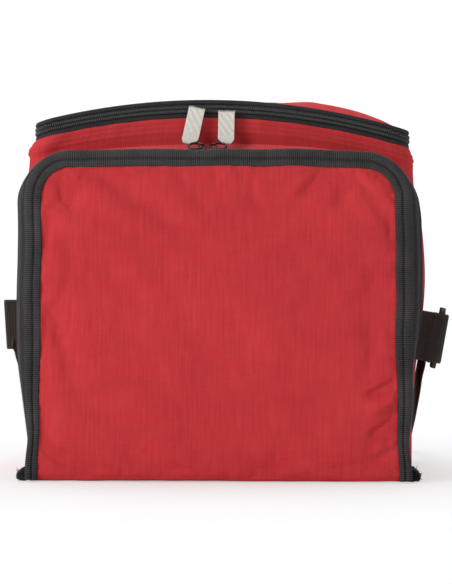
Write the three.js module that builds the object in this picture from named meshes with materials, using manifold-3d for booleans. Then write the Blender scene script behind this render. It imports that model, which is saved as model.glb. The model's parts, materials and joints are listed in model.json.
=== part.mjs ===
// Insulated cooler bag: a padded box with a zipped lid, a full-height front
// pocket that zips open round its left, top and right edges and folds down, and
// a shoulder strap fixed at both sides.
//
// Millimetres, +Z up. The origin is the middle of the underside. The front
// (pocket side) faces -Y and the bag's right-hand side, seen from the front, is +X.
import * as THREE from 'three';
import { mergeVertices } from 'three/addons/utils/BufferGeometryUtils.js';
import Module from 'manifold-3d';

const wasm = await Module();
wasm.setup();

const { clamp, degToRad, smoothstep } = THREE.MathUtils;
const QUARTER = Math.PI / 2;

// ---------------------------------------------------------------- dimensions
const HALF_W = 141;          // half width of the main compartment at top and bottom
const HALF_D = 70;           // half depth of the main compartment
const CORNER_R = 16;         // plan radius of its vertical corners
const RIM_Z = 266;           // top of the walls at the middle of the front
const FABRIC_T = 1.2;
const FOAM_T = 5;
const LINER_T = 1;
const GAP = 0.3;             // clearance between layers

const SIDE_BULGE = 11;       // how far the side walls belly out
const BACK_BULGE = 5;        // how far the back wall bellies out
const FRONT_BOW = 3;         // forward bow of the front wall at the rim
const ARCH_K = 0.00094;      // the front rim falls away from its high point as K * x^2
const ARCH_X = -12;          // the rim's high point
const REAR_DROP = 12;        // the middle of the rear rim is straight and this much lower
const REAR_CORNER = 5;       // the rear corners are lower again by this
const RIM_IN = 0.0335;       // fraction by which the walls draw in towards the rim
const RIM_X = 1.5;           // how far the rim sits to the right
const LID_CROWN = 3.5;       // height of the lid's dome
const LID_SWELL = 4;         // the lid's extra fullness towards the right

const PANEL_HALF_W = 139;    // pocket panel, to the outside of its edging
const PANEL_TOP = 239;
const PANEL_BOTTOM = 5;
const PANEL_R = 33;          // radius of its two top corners
const PANEL_FRONT_Y = -98;
const FLARE_LEFT = 5.4;      // how much wider the pocket's sides are where they join the bag
const FLARE_RIGHT = 7.6;
const ZIP_IN = 1.4;          // the pocket's zip is set in from the panel outline

const WEB_W = 38;            // webbing width
const WEB_T = 1.6;
const STRAP_Y = -62;         // axis the strap swings about
const STRAP_Z = 108;
const STRAP_REACH = 222;     // from that axis to the far side of the strap loop
const STRAP_FALL = degToRad(22.5); // how far the loop droops behind the bag
const STRAP_ROLL = degToRad(1.6);  // its axis is this much lower at the right
const LINK_TILT = degToRad(10);    // lean of the right-hand tab and buckle
const LINK_X = 154;          // the strap's fixings are this far from the middle
const SEAM_X = 150.3;        // the fixings start here, at the side seams

// ---------------------------------------------------------------- general helpers
const clamp01 = (value) => clamp(value, 0, 1);
const vec = (x, y, z) => new THREE.Vector3(x, y, z);

// Evenly spaced values from `from` to `to`, both included.
const levels = (from, to, steps) =>
  Array.from({ length: steps + 1 }, (_, i) => from + ((to - from) * i) / steps);

// Points along a circular arc, both ends included.
const arc = (centreX, centreY, radius, from, to, steps) =>
  Array.from({ length: steps + 1 }, (_, i) => {
    const angle = from + (to - from) * (i / steps);
    return [centreX + radius * Math.cos(angle), centreY + radius * Math.sin(angle)];
  });

function mapPoints(geometry, move) {
  const positions = geometry.attributes.position;
  const point = vec(0, 0, 0);
  for (let i = 0; i < positions.count; i++) {
    point.fromBufferAttribute(positions, i);
    const { x, y, z } = move(point);
    positions.setXYZ(i, x, y, z);
  }
  positions.needsUpdate = true;
  return geometry;
}

function toSolid(geometry) {
  const bare = geometry.clone();
  bare.deleteAttribute('normal');
  bare.deleteAttribute('uv');
  const merged = mergeVertices(bare, 1e-4);
  return new wasm.Manifold(new wasm.Mesh({
    numProp: 3,
    vertProperties: new Float32Array(merged.attributes.position.array),
    triVerts: new Uint32Array(merged.index.array),
  }));
}

function fromSolid(solid) {
  const mesh = solid.getMesh();
  const geometry = new THREE.BufferGeometry();
  const vertices = new Float32Array(mesh.vertProperties);
  geometry.setAttribute('position', new THREE.BufferAttribute(vertices, 3));
  geometry.setIndex(new THREE.BufferAttribute(new Uint32Array(mesh.triVerts), 1));
  geometry.computeVertexNormals();
  return geometry;
}

const join = (first, second) => fromSolid(toSolid(first).add(toSolid(second)));
const cut = (blank, ...tools) => fromSolid(
  tools.map(toSolid).reduce((solid, tool) => solid.subtract(tool), toSolid(blank)));

// Extrude an XY outline up +Z from z = 0.
function extrude(points, depth, hole) {
  const toVectors = (list) => list.map(([x, y]) => new THREE.Vector2(x, y));
  const shape = new THREE.Shape(toVectors(points));
  if (hole) shape.holes.push(new THREE.Path(toVectors(hole)));
  return new THREE.ExtrudeGeometry(shape, { depth, steps: 1, bevelEnabled: false });
}

// Extrude an XZ outline from yRear towards the front.
const towardFront = (points, yRear, depth) =>
  extrude(points, depth).rotateX(QUARTER).translate(0, yRear, 0);

// A box with grid lines at the stated places.
function gridBox(xs, ys, zs) {
  const nx = xs.length - 1;
  const ny = ys.length - 1;
  const nz = zs.length - 1;
  return mapPoints(new THREE.BoxGeometry(nx, ny, nz, nx, ny, nz), ({ x, y, z }) => vec(
    xs[Math.round(x + nx / 2)], ys[Math.round(y + ny / 2)], zs[Math.round(z + nz / 2)]));
}

// A long box bent along a path. `at` gives the final place of a point from its
// step along the path and its signs across the strip.
function bentStrip(steps, at) {
  const box = new THREE.BoxGeometry(steps, 1, 1, steps, 1, 1);
  return mapPoints(box, ({ x, y, z }) => at(Math.round(x + steps / 2), y, z));
}

// ---------------------------------------------------------------- meshes and materials
const materials = {
  red: { color: 0xc23a3f, roughness: 0.85 },
  black: { color: 0x2c2b2c, roughness: 0.8 },
  coil: { color: 0x232324, roughness: 0.45 },
  metal: { color: 0x1d1c1c, roughness: 0.4, metalness: 0.6 },
  tape: { color: 0xdedacd, roughness: 0.9 },
  webbing: { color: 0x2f2d2a, roughness: 0.85 },
  plastic: { color: 0x322826, roughness: 0.5 },
  foam: { color: 0xe9e9e6, roughness: 0.9 },
  liner: { color: 0xc3c6c9, roughness: 0.35, metalness: 0.3 },
  board: { color: 0x77797b, roughness: 0.7 },
};
const group = new THREE.Group();

function put(name, geometry, look) {
  const material = new THREE.MeshStandardMaterial({ metalness: 0, ...materials[look] });
  const mesh = new THREE.Mesh(geometry, material);
  mesh.name = name;
  group.add(mesh);
}

// ---------------------------------------------------------------- soft box shape
// How full the walls are at a height: none at the base and the rim, all at about mid height.
const fullness = (z) =>
  Math.pow(Math.max(0, Math.sin(Math.PI * Math.pow(clamp01(z / RIM_Z), 1.25))), 1.8);

// Every piece of the main compartment is laid out as a straight-sided box and
// then moved by this one smooth map, so layers stay nested.
function soften({ x, y, z }, crown = 0) {
  const across = clamp01(Math.abs(x) / HALF_W);
  const rearward = clamp(y / HALF_D, -1.02, 1.02);
  const full = fullness(z);
  const nearRim = smoothstep(z, 140, 262);

  const frontShare = clamp01((HALF_D - y) / (2 * HALF_D));
  const frontDrop = ARCH_K * (x - ARCH_X) ** 2;
  const rearDrop = REAR_DROP + REAR_CORNER * smoothstep(Math.abs(x), 95, 141);
  const drop = frontShare * frontDrop + (1 - frontShare) * rearDrop;

  // The lid's swell is a rounded hump centred on x = 80.
  const swell = crown > 0
    ? LID_SWELL * Math.exp(-(((x - 80) / 45) ** 2)) * (1 - across ** 6)
    : 0;
  const lift = (crown * (1 - across * across) + swell) * Math.max(0, 1 - rearward * rearward);

  const widen = 1 + (SIDE_BULGE / HALF_W) * full * (1 - 0.3 * rearward * rearward);
  const drawIn = 1 - RIM_IN * smoothstep(z, 246, 266);
  const bulge = y > 0 ? BACK_BULGE * full : FRONT_BOW * nearRim;
  return vec(
    x * widen * drawIn + RIM_X * smoothstep(z, 225, 264),
    y + bulge * (1 - across * across) * rearward,
    z - nearRim * drop + lift);
}

// Grid lines across one side of a box: three steps round each corner, even steps between.
const cornerLines = (half, radius, steps) => [
  -half, -half + radius * 0.33, -half + radius * 0.66,
  ...levels(-(half - radius), half - radius, steps),
  half - radius * 0.66, half - radius * 0.33, half,
];

// Plate or prism with rounded vertical corners, `inset` inside the compartment's
// outline, with grid lines at `heights`.
function plate(inset, heights, { crown = 0, stepsX = 10, stepsY = 4 } = {}) {
  const halfW = HALF_W - inset;
  const halfD = HALF_D - inset;
  const radius = Math.max(4, CORNER_R - inset);
  const flatX = halfW - radius;
  const flatY = halfD - radius;
  const box = gridBox(
    cornerLines(halfW, radius, stepsX), cornerLines(halfD, radius, stepsY), heights);
  mapPoints(box, ({ x, y, z }) => {
    const pastX = Math.abs(x) - flatX;
    const pastY = Math.abs(y) - flatY;
    if (pastX <= 0 || pastY <= 0) return vec(x, y, z);
    // Square corner to round corner.
    const u = pastX / radius;
    const v = pastY / radius;
    return vec(
      Math.sign(x) * (flatX + radius * u * Math.sqrt(1 - (v * v) / 2)),
      Math.sign(y) * (flatY + radius * v * Math.sqrt(1 - (u * u) / 2)), z);
  });
  return mapPoints(box, (point) => soften(point, crown));
}

// ---------------------------------------------------------------- main compartment
const FOAM_INSET = FABRIC_T + GAP;
const LINER_INSET = FOAM_INSET + FOAM_T + GAP;
const BASE_INSET = 2.4;
const BOARD_Z = 1.6;         // underside of the base board and of the walls
const BOARD_TOP = 3.6;
const BASE_FOAM_Z = BOARD_TOP + GAP;
const BASE_FOAM_TOP = BASE_FOAM_Z + FOAM_T;
const FLOOR_Z = BASE_FOAM_TOP + GAP;
const CUT_PAST = 3;          // how far the wall and binding cutters run past each end

const wallLevels = [...levels(FLOOR_Z, 246, 12), 250, 254, 258, 261.5, 263.9, RIM_Z - 0.2];

const fabricLevels = [BOARD_Z, ...wallLevels.slice(0, -1), RIM_Z];
put('outer_wall_fabric', cut(
  plate(0, fabricLevels),
  plate(FABRIC_T, [BOARD_Z - CUT_PAST, ...fabricLevels, RIM_Z + CUT_PAST]),
), 'red');

// Base layers: name, inset, bottom, top, look.
const baseLayers = [
  ['base_fabric', 0, 0, FABRIC_T, 'red'],
  ['base_board', BASE_INSET, BOARD_Z, BOARD_TOP, 'board'],
  ['base_foam', BASE_INSET, BASE_FOAM_Z, BASE_FOAM_TOP, 'foam'],
];
for (const [name, inset, bottom, top, look] of baseLayers) {
  put(name, plate(inset, [bottom, top], { stepsX: 2, stepsY: 2 }), look);
}

// Wall foam: a slab in each wall, between the corners.
const foamX = levels(-(HALF_W - CORNER_R), HALF_W - CORNER_R, 10);
const foamY = levels(-(HALF_D - CORNER_R), HALF_D - CORNER_R, 4);
const foamBehind = (half) => [half - FOAM_INSET - FOAM_T, half - FOAM_INSET];
const foamAhead = (half) => [-(half - FOAM_INSET), -(half - FOAM_INSET - FOAM_T)];
const foamSlabs = [           // name, grid lines in x, grid lines in y
  ['front_foam', foamX, foamAhead(HALF_D)],
  ['back_foam', foamX, foamBehind(HALF_D)],
  ['left_foam', foamAhead(HALF_W), foamY],
  ['right_foam', foamBehind(HALF_W), foamY],
];
for (const [name, xs, ys] of foamSlabs) {
  put(name, mapPoints(gridBox(xs, ys, wallLevels), (point) => soften(point)), 'foam');
}

put('liner_tub', cut(
  plate(LINER_INSET, wallLevels),
  plate(LINER_INSET + LINER_T, [FLOOR_Z + LINER_T, ...wallLevels.slice(1), RIM_Z + 4]),
), 'liner');

const BINDING_Z = RIM_Z + GAP;
const BINDING_TOP = BINDING_Z + 2;
put('rim_binding', cut(
  plate(0.2, [BINDING_Z, BINDING_TOP]),
  plate(7.6, levels(BINDING_Z - CUT_PAST, BINDING_TOP + CUT_PAST, 3)),
), 'black');

// ---------------------------------------------------------------- lid and its zip
const ZIP_REAR_X = 119.5;    // the zip ends on the back, this far from the middle
const LID_TAPE_TOP = 267.4;  // top of the lower zip tape and of the hinge strip
const LID_COIL_Z = 270.5;    // where the two coils meet

// Points along the compartment's outline, from the back near the left rear
// corner round the front to the back near the right rear corner, `out` outside it.
function rimPath(out) {
  const halfW = HALF_W + out;
  const halfD = HALF_D + out;
  const radius = CORNER_R + out;
  const flatX = halfW - radius;
  const flatY = halfD - radius;
  const right = [
    [ZIP_REAR_X, halfD],
    ...arc(flatX, flatY, radius, QUARTER, 0, 4),
    ...levels(flatY, -flatY, 5).slice(1, -1).map((y) => [halfW, y]),
    ...arc(flatX, -flatY, radius, 0, -QUARTER, 4),
    ...levels(flatX, 0, 6).slice(1).map((x) => [x, -halfD]),
  ];
  const left = right.map(([x, y]) => [-x, y]);
  return [...left, ...right.slice(0, -1).reverse()];
}

// Upright strip that follows the outline round the front, the sides and the rear corners.
function rimStrip(inner, outer, bottom, top) {
  const innerPath = rimPath(inner);
  const outerPath = rimPath(outer);
  return bentStrip(innerPath.length - 1, (i, outSign, upSign) => {
    const [x, y] = (outSign < 0 ? outerPath : innerPath)[i];
    return soften(vec(x, y, upSign < 0 ? bottom : top));
  });
}

// Lid zip: name, inner and outer offset from the outline, bottom, top, look.
const lidZip = [
  ['lid_zip_tape_lower', 0.4, 1.6, 264, LID_TAPE_TOP, 'black'],
  ['lid_zip_coil_lower', 0.5, 2.4, 267.7, LID_COIL_Z - GAP / 2, 'coil'],
  ['lid_zip_coil_upper', 0.5, 2.4, LID_COIL_Z + GAP / 2, 273.3, 'coil'],
  ['lid_zip_tape_upper', 0.4, 1.6, 273.6, 276.6, 'black'],
];
for (const [name, inner, outer, bottom, top, look] of lidZip) {
  put(name, rimStrip(inner, outer, bottom, top), look);
}

// Lid layers: name, inset, bottom, top, look.
const lidLayers = [
  ['lid_liner', 0.5, 269.3, 270.1, 'liner'],
  ['lid_foam', 0.5, 270.8, 274.4, 'foam'],
  ['lid_outer_fabric', 0, 275.1, 276.2, 'red'],
];
for (const [name, inset, bottom, top, look] of lidLayers) {
  put(name, plate(inset, [bottom, top], { crown: LID_CROWN, stepsY: 7 }), look);
}

const hinge = gridBox(
  levels(-105, 105, 10), [HALF_D + 0.3, HALF_D + 1.3], levels(252, LID_TAPE_TOP, 2));
put('lid_hinge_strip', mapPoints(hinge, (point) => soften(point)), 'red');

const sides = [['left', -1], ['right', 1]];
for (const [name, side] of sides) {
  const thickness = 1.4;
  const patch = new THREE.BoxGeometry(11, thickness, 6);
  patch.translate(side * 112.5, HALF_D + 0.4 + thickness / 2, 266.9);
  put(`lid_zip_end_${name}`, mapPoints(patch, (point) => soften(point)), 'black');
}

// ---------------------------------------------------------------- front pocket
const ZIP_Z = 12;            // lower ends of the pocket's zip and gusset
const POCKET_COIL_Y = -85.75; // where the two coils meet
const COIL_OUT = 0.6 - ZIP_IN; // coil's outer offset from the panel outline

// Pocket outline in the XZ plane: up the left, across the top, down the right.
function archPath(out, bottom) {
  const halfW = PANEL_HALF_W + out;
  const radius = PANEL_R + out;
  const flatX = halfW - radius;
  const shoulder = PANEL_TOP + out - radius;
  return [
    ...levels(bottom, shoulder, 6).slice(0, -1).map((z) => [-halfW, z]),
    ...arc(-flatX, shoulder, radius, Math.PI, QUARTER, 7),
    ...arc(flatX, shoulder, radius, QUARTER, 0, 7),
    ...levels(shoulder, bottom, 6).slice(1).map((z) => [halfW, z]),
  ];
}

// The pocket's sides splay out towards the wider bag behind them.
function splay(x, y, z) {
  const flare = x < 0
    ? FLARE_LEFT * smoothstep(z, 25, 95) * (1 - smoothstep(z, 200, 240))
    : FLARE_RIGHT * smoothstep(z, 70, 125) * (1 - smoothstep(z, 190, 240));
  const rearShare = clamp01((y + 94) / 14);
  const sideShare = Math.pow(Math.abs(x) / PANEL_HALF_W, 3);
  return vec(x + Math.sign(x) * flare * rearShare * sideShare, y, z);
}

// Strip that follows the pocket outline, between two offsets from it.
function archStrip(inner, outer, bottom, yFront, yRear) {
  const innerPath = archPath(inner, bottom);
  const outerPath = archPath(outer, bottom);
  return bentStrip(innerPath.length - 1, (i, outSign, frontSign) => {
    const [x, z] = (outSign > 0 ? outerPath : innerPath)[i];
    return splay(x, frontSign < 0 ? yRear : yFront, z);
  });
}

const panelRearY = PANEL_FRONT_Y + FABRIC_T;
const PADDING_T = 3;
put('pocket_panel_fabric',
  towardFront(archPath(-0.7, PANEL_BOTTOM), panelRearY, FABRIC_T), 'red');
put('pocket_panel_padding', towardFront(
  archPath(-2, PANEL_BOTTOM), panelRearY + GAP + PADDING_T, PADDING_T), 'foam');

// Edging: a flat band on the panel's face and a thin lip round its edge.
put('pocket_edging', join(
  archStrip(-11.4, 0.6, PANEL_BOTTOM, PANEL_FRONT_Y - 1.6, PANEL_FRONT_Y - 0.3),
  archStrip(-0.4, 0.6, PANEL_BOTTOM, PANEL_FRONT_Y - 1.0, -93.5),
), 'black');

// Pocket zip: name, inner and outer offset from the outline, front y, rear y, look.
const pocketZip = [
  ['tape_front', -1 - ZIP_IN, -ZIP_IN, -93.2, -87.5, 'black'],
  ['coil_front', -1.3 - ZIP_IN, COIL_OUT, -87.2, POCKET_COIL_Y - GAP / 2, 'coil'],
  ['coil_rear', -1.3 - ZIP_IN, COIL_OUT, POCKET_COIL_Y + GAP / 2, -84.3, 'coil'],
  ['tape_rear', -1 - ZIP_IN, -ZIP_IN, -84, -78, 'black'],
];
for (const [name, inner, outer, yFront, yRear, look] of pocketZip) {
  put(`pocket_zip_${name}`, archStrip(inner, outer, ZIP_Z, yFront, yRear), look);
}

// The gusset is trimmed to the front of the main compartment.
const bodyKeepOut = plate(-0.45, levels(-4, RIM_Z + 8, 8));
put('pocket_gusset', cut(
  archStrip(-1.2 - ZIP_IN, -ZIP_IN, ZIP_Z, -77.7, -57), bodyKeepOut), 'red');

const pocketFloor = new THREE.BoxGeometry(2 * (PANEL_HALF_W - 1.5), 23, 1.2);
put('pocket_floor', pocketFloor.translate(0, -83.2, 1.0), 'red');

// Zip end outline for the right side, x and z.
const zipEndOutline = [[-5, 1], [4, 1], [5.5, 4.5], [4, 9.5], [-4.2, 11], [-5, 6]];
const ZIP_END_LENGTH = 15;
for (const [name, side] of sides) {
  const block = towardFront(zipEndOutline, ZIP_END_LENGTH / 2, ZIP_END_LENGTH);
  if (side < 0) block.rotateZ(Math.PI);
  put(`pocket_zip_end_${name}`, block.translate(side * 142.6, -85, 0), 'black');
}

// ---------------------------------------------------------------- sliders and pulls
// Local frame: X along the zip, Y across it, Z out of it. `side` is the way the
// pull ring leaves the slider along X.
const RING_R = 5;
const RING_WIRE = 0.65;      // radius of the ring's wire
const RING_ACROSS = 0.62;    // the ring is narrowed by this across the zip
const RING_LEAN = degToRad(30);
const RING_Z = 4;            // height of the bridge's hole over the slider's underside
const HOLE_X = 0.8;          // the hole is this far back from the slider's middle
const SLIDER_L = 8;
const SLIDER_W = 7.4;
const SLIDER_T = 1.8;
const ARM_Y = RING_R * RING_ACROSS * Math.cos(RING_LEAN);   // the ring's far arm
const ARM_Z = RING_Z + RING_R * RING_ACROSS * Math.sin(RING_LEAN);
const TAPE_T = 1.8;

function sliderGeometry(side) {
  const halfL = SLIDER_L / 2;
  const halfW = SLIDER_W / 2;
  const outline = [
    [-halfL, -halfW * 0.62], [-halfL * 0.4, -halfW],
    [halfL * 0.55, -halfW], [halfL, -halfW * 0.55],
    [halfL, halfW * 0.55], [halfL * 0.55, halfW],
    [-halfL * 0.4, halfW], [-halfL, halfW * 0.62],
  ].map(([x, y]) => [-side * x, y]);
  if (side > 0) outline.reverse();
  const body = extrude(outline, SLIDER_T);
  const bridge = new THREE.BoxGeometry(5.4, 1.6, 4.4);
  bridge.translate(-side * 0.6, 0, SLIDER_T + 1.7);
  const hole = new THREE.CylinderGeometry(1.1, 1.1, 12, 12);   // close to local Y once leaned
  hole.rotateX(RING_LEAN);
  hole.translate(-side * HOLE_X, 0, RING_Z);
  return cut(join(body, bridge), hole);
}

const ringGeometry = (side) => new THREE.TorusGeometry(RING_R, RING_WIRE, 6, 16)
  .scale(1, RING_ACROSS, 1)
  .rotateX(RING_LEAN)
  .translate(side * (RING_R - HOLE_X), 0, RING_Z);

// The woven pull tape. `lean` turns it from straight out of the zip (0) towards
// local +Y; `cant` leans it along the zip.
function pullGeometry({ lean, cant, length }) {
  const outline = [[-3, 0], [3, 0], [5.6, 4], [5.6, length], [-5.6, length], [-5.6, 4]];
  return extrude(outline, TAPE_T)
    .translate(0, 1.9, -TAPE_T / 2)
    .rotateZ(cant)
    .rotateX(QUARTER - lean);
}

// Slider, ring and pull tape. `reach` is how far along the zip the tape stands
// from the slider; `frame` takes the local frame to the bag's.
function putPull(zip, name, side, frame, reach, tapeShape) {
  const tape = pullGeometry(tapeShape).translate(side * reach, 0, 0);
  if (zip === 'lid' || zip === 'pocket') tape.translate(0, ARM_Y, ARM_Z);
  put(`${zip}_slider_${name}`, sliderGeometry(side).applyMatrix4(frame), 'metal');
  put(`${zip}_pull_ring_${name}`, ringGeometry(side).applyMatrix4(frame), 'metal');
  put(`${zip}_pull_tape_${name}`, tape.applyMatrix4(frame), 'tape');
}

// Pocket pulls: name, side, x, cant in degrees, tape length.
for (const [name, side, x, cant, length] of [
  ['left', -1, -12.3, -12, 24],
  ['right', 1, -3.7, -1, 20.8],
]) {
  const frame = new THREE.Matrix4()
    .makeTranslation(x, POCKET_COIL_Y, PANEL_TOP + COIL_OUT + GAP);
  putPull('pocket', name, side, frame, 9, { lean: degToRad(8), cant: degToRad(cant), length });
}

// The lid zip is closed with its two sliders on the left side, towards the rear.
const leftFrontDrop = ARCH_K * (HALF_W + ARCH_X) ** 2;
const leftRimRise = (leftFrontDrop - REAR_DROP - REAR_CORNER) / (2 * HALF_D);
for (const [name, side, y] of [['front', -1, 20], ['rear', 1, 33]]) {
  const foot = soften(vec(-(HALF_W + 2.4), y, LID_COIL_Z));
  foot.x -= 0.35;
  const along = vec(0, 1, leftRimRise).normalize();
  const out = vec(-1, 0, 0);
  const across = vec(0, 0, 0).crossVectors(out, along);
  const frame = new THREE.Matrix4().makeBasis(along, across, out).setPosition(foot);
  putPull('lid', name, side, frame, 5, { lean: degToRad(82), cant: 0, length: 23 });
}

// ---------------------------------------------------------------- strap and its fixings
const FIXING_DROP = LINK_X * Math.sin(STRAP_ROLL);
const RIGHT_Z = STRAP_Z - FIXING_DROP;
const LEFT_Z = STRAP_Z + FIXING_DROP;
const BAR_X = 161.5;         // the buckle's front bar

// Leans the right-hand tab and buckle and lifts them to the strap's axis.
const linkFrame = new THREE.Matrix4().makeTranslation(LINK_X, 0, RIGHT_Z)
  .multiply(new THREE.Matrix4().makeRotationY(LINK_TILT))
  .multiply(new THREE.Matrix4().makeTranslation(-LINK_X, 0, 0));

// Right-hand tab: webbing folded round the buckle's front bar.
function strapTab() {
  const foldR = 4.6;
  const fold = (radius) => arc(BAR_X, 0, radius, -QUARTER, QUARTER, 8);
  const mirror = (points) => points.map(([x, y]) => [x, -y]).reverse();
  const tail = [[144, -1.7], [SEAM_X + 0.2, -1.9], [154.5, -3.2]];   // x, y from the axis
  const holeEnd = [[154.8, -1.4]];
  const outer = [...tail, ...fold(foldR), ...mirror(tail)];
  const inner = [...holeEnd, ...fold(foldR - WEB_T), ...mirror(holeEnd)];
  const tab = extrude(outer, WEB_W, inner).translate(0, STRAP_Y, -WEB_W / 2);
  const seamSide = new THREE.BoxGeometry(20, 20, 60);
  seamSide.translate(SEAM_X - 10, STRAP_Y, RIGHT_Z);
  return cut(tab.applyMatrix4(linkFrame), seamSide);
}

// Three-bar buckle: its front bar lies in the tab, its frame runs back from it.
// Drawn with x across the bars and y along them.
function strapBuckle() {
  const halfW = 12;
  const halfH = 22.5;
  const thickness = 3;
  const bar = 3.4;
  const slot = (2 * halfW - 3 * bar) / 2;
  const end = 3;
  const chamfer = 2.5;
  const outline = [
    [-halfW + chamfer, -halfH], [halfW - chamfer, -halfH],
    [halfW, -halfH + chamfer], [halfW, halfH - chamfer],
    [halfW - chamfer, halfH], [-halfW + chamfer, halfH],
    [-halfW, halfH - chamfer], [-halfW, -halfH + chamfer],
  ];
  const blank = extrude(outline, thickness).translate(0, 0, -thickness / 2);
  const slots = [-1, 1].map((side) => new THREE.BoxGeometry(slot, 2 * (halfH - end), 6)
    .translate(side * (bar + slot) / 2, 0, 0));
  // Across the bars -> +Y, along the bars -> +Z, thickness -> +X.
  const upright = new THREE.Matrix4().makeBasis(vec(0, 1, 0), vec(0, 0, 1), vec(1, 0, 0));
  return cut(blank, ...slots)
    .applyMatrix4(upright)
    .translate(BAR_X, STRAP_Y + halfW - bar / 2, 0)
    .applyMatrix4(linkFrame);
}

// Left-hand end: the strap's end, folded and sewn into the side seam.
function strapEnd() {
  const length = 8.6;
  return new THREE.BoxGeometry(length, 3.4, WEB_W)
    .translate(-(SEAM_X + length / 2), STRAP_Y, LEFT_Z);
}

// The loop of the strap: an open loop in the plane of X and the droop direction.
function shoulderStrap() {
  const leftStart = 13;      // where the legs start, from the strap's axis
  const rightStart = 32;
  const straightFrom = 55;   // nearer the axis than this, the legs close in on the bag
  const legX = (half, start) => half - 2.3 * clamp01((straightFrom - start) / 42);
  const loopPath = (inset) => {
    const half = 154.2 - inset;
    const radius = 30 - inset;
    const flatX = half - radius;
    const cornerY = STRAP_REACH - inset - radius;
    return [
      [-legX(half, leftStart), leftStart],
      [-half, straightFrom],
      ...arc(-flatX, cornerY, radius, Math.PI, QUARTER, 5),
      ...arc(flatX, cornerY, radius, QUARTER, 0, 5),
      [half, straightFrom],
      [legX(half, rightStart), rightStart],
    ];
  };
  const cos = Math.cos(STRAP_FALL);
  const sin = Math.sin(STRAP_FALL);
  const droop = new THREE.Matrix4().makeBasis(vec(1, 0, 0), vec(0, cos, -sin), vec(0, sin, cos));
  return extrude([...loopPath(0), ...loopPath(WEB_T).reverse()], WEB_W)
    .translate(0, 0, -WEB_W / 2)
    .applyMatrix4(droop)
    .rotateY(STRAP_ROLL)
    .translate(-1.5, STRAP_Y, STRAP_Z);
}

// The pocket and lid pulls come before these in the group.
put('strap_tab_right', strapTab(), 'webbing');
put('strap_buckle', strapBuckle(), 'plastic');
put('strap_end_left', strapEnd(), 'webbing');
put('shoulder_strap', shoulderStrap(), 'webbing');

export default group;
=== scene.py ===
"""A soft insulated bag in red fabric: a main compartment with a zipped lid hinged along its rear,
a zipped front pocket, a silver liner and a webbing strap that falls behind the bag.

Shapes are worked out in millimetres and built in metres. The bag stands on z = 0, centred on x
and y. Its front faces -y, its left side is at -x and its lid is at the top.
"""
import json
import math
import bpy
import bmesh
import numpy as np
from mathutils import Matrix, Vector, noise


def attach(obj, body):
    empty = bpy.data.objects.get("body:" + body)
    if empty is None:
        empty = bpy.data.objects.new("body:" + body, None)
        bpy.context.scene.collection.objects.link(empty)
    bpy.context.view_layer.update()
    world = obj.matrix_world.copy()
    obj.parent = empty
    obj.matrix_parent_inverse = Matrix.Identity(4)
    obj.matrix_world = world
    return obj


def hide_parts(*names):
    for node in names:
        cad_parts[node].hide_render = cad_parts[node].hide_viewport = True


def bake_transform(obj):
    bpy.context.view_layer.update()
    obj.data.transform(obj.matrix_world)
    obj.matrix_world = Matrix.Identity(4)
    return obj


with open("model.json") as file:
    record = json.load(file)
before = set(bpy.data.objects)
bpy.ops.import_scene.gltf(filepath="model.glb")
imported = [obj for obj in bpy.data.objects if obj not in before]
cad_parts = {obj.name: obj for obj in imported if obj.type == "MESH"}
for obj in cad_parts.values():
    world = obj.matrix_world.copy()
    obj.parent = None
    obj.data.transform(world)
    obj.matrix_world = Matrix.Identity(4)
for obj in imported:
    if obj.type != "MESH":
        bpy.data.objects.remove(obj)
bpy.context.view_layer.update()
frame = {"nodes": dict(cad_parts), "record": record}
BODY = {node: body for body, nodes in frame["record"]["behaviour"]["bodies"].items()
        for node in nodes}

MM = 0.001
PI = math.pi

# ---------------------------------------------------------------- main dimensions, millimetres
HALF_W, HALF_D = 141.0, 70.0       # half width and half depth of the compartment
CORNER_R, RIM_Z = 16.0, 266.0      # plan corner radius, height of the rim
SIDE_BULGE, BACK_BULGE, FRONT_BOW = 11.0, 5.0, 3.0
ARCH_K, ARCH_X = 0.00094, -12.0    # the front of the rim droops by ARCH_K * (x - ARCH_X)^2
REAR_DROP, REAR_CORNER = 12.0, 5.0  # droop of the rear rim, and what its corners add
LID_CROWN, LID_SWELL = 3.5, 4.0    # rise of the lid's middle, and of a swelling on its right
RIM_IN, RIM_X = 0.0335, 1.5        # share by which the rim draws in, and its shift to the right
LID_TOP_Z = 276.2

PANEL_HALF_W, PANEL_TOP, PANEL_R = 139.0, 239.0, 33.0  # pocket front: an arch
EDGING_W = 11.2
FLARE_LEFT, FLARE_RIGHT = 5.4, 7.6  # how far the pocket's sides spread towards its rear
ZIP_IN = 1.4                       # the pocket's zip lies this far inside its outline
EDGING_Z, ZIP_Z, GUSSET_Z = 1.2, 6.0, 8.0  # where each of them starts above the ground
TOOTH = 1.45                       # pitch of the zip coils
HEM_ROWS = (259.6, 256.2)          # heights of the stitch rows under the lid zip
HINGE_Y = 71.3

STRAIGHT_X, STRAIGHT_Y = HALF_W - CORNER_R, HALF_D - CORNER_R
ARC = PI / 2 * CORNER_R
OUTLINE_L = 4 * STRAIGHT_X + 4 * STRAIGHT_Y + 4 * ARC
REAR_SEAMS = (STRAIGHT_X + ARC * 0.5, OUTLINE_L - (STRAIGHT_X + ARC * 0.5))
ZIP_START = 119.5                  # the lid zip starts on the back near its left corner
ZIP_END = OUTLINE_L - ZIP_START

STRAP_Y, STRAP_Z = -62.0, 108.0    # middle of the strap's fixings
WEB_WIDTH = 36.5
FIXING_X = 154.0                   # how far out the strap's fixings hang
FALL, TILT, ROLL = math.radians(22.5), math.radians(10), math.radians(1.6)
LEFT_Z = STRAP_Z + FIXING_X * math.sin(ROLL)
RIGHT_Z = STRAP_Z - FIXING_X * math.sin(ROLL)


# ---------------------------------------------------------------- small sums
def stack(*columns):
    """Arrays or numbers, broadcast together, as the last axis of one array."""
    return np.stack(np.broadcast_arrays(*columns), -1)


def split(points):
    return np.moveaxis(np.asarray(points, float), -1, 0)


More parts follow.
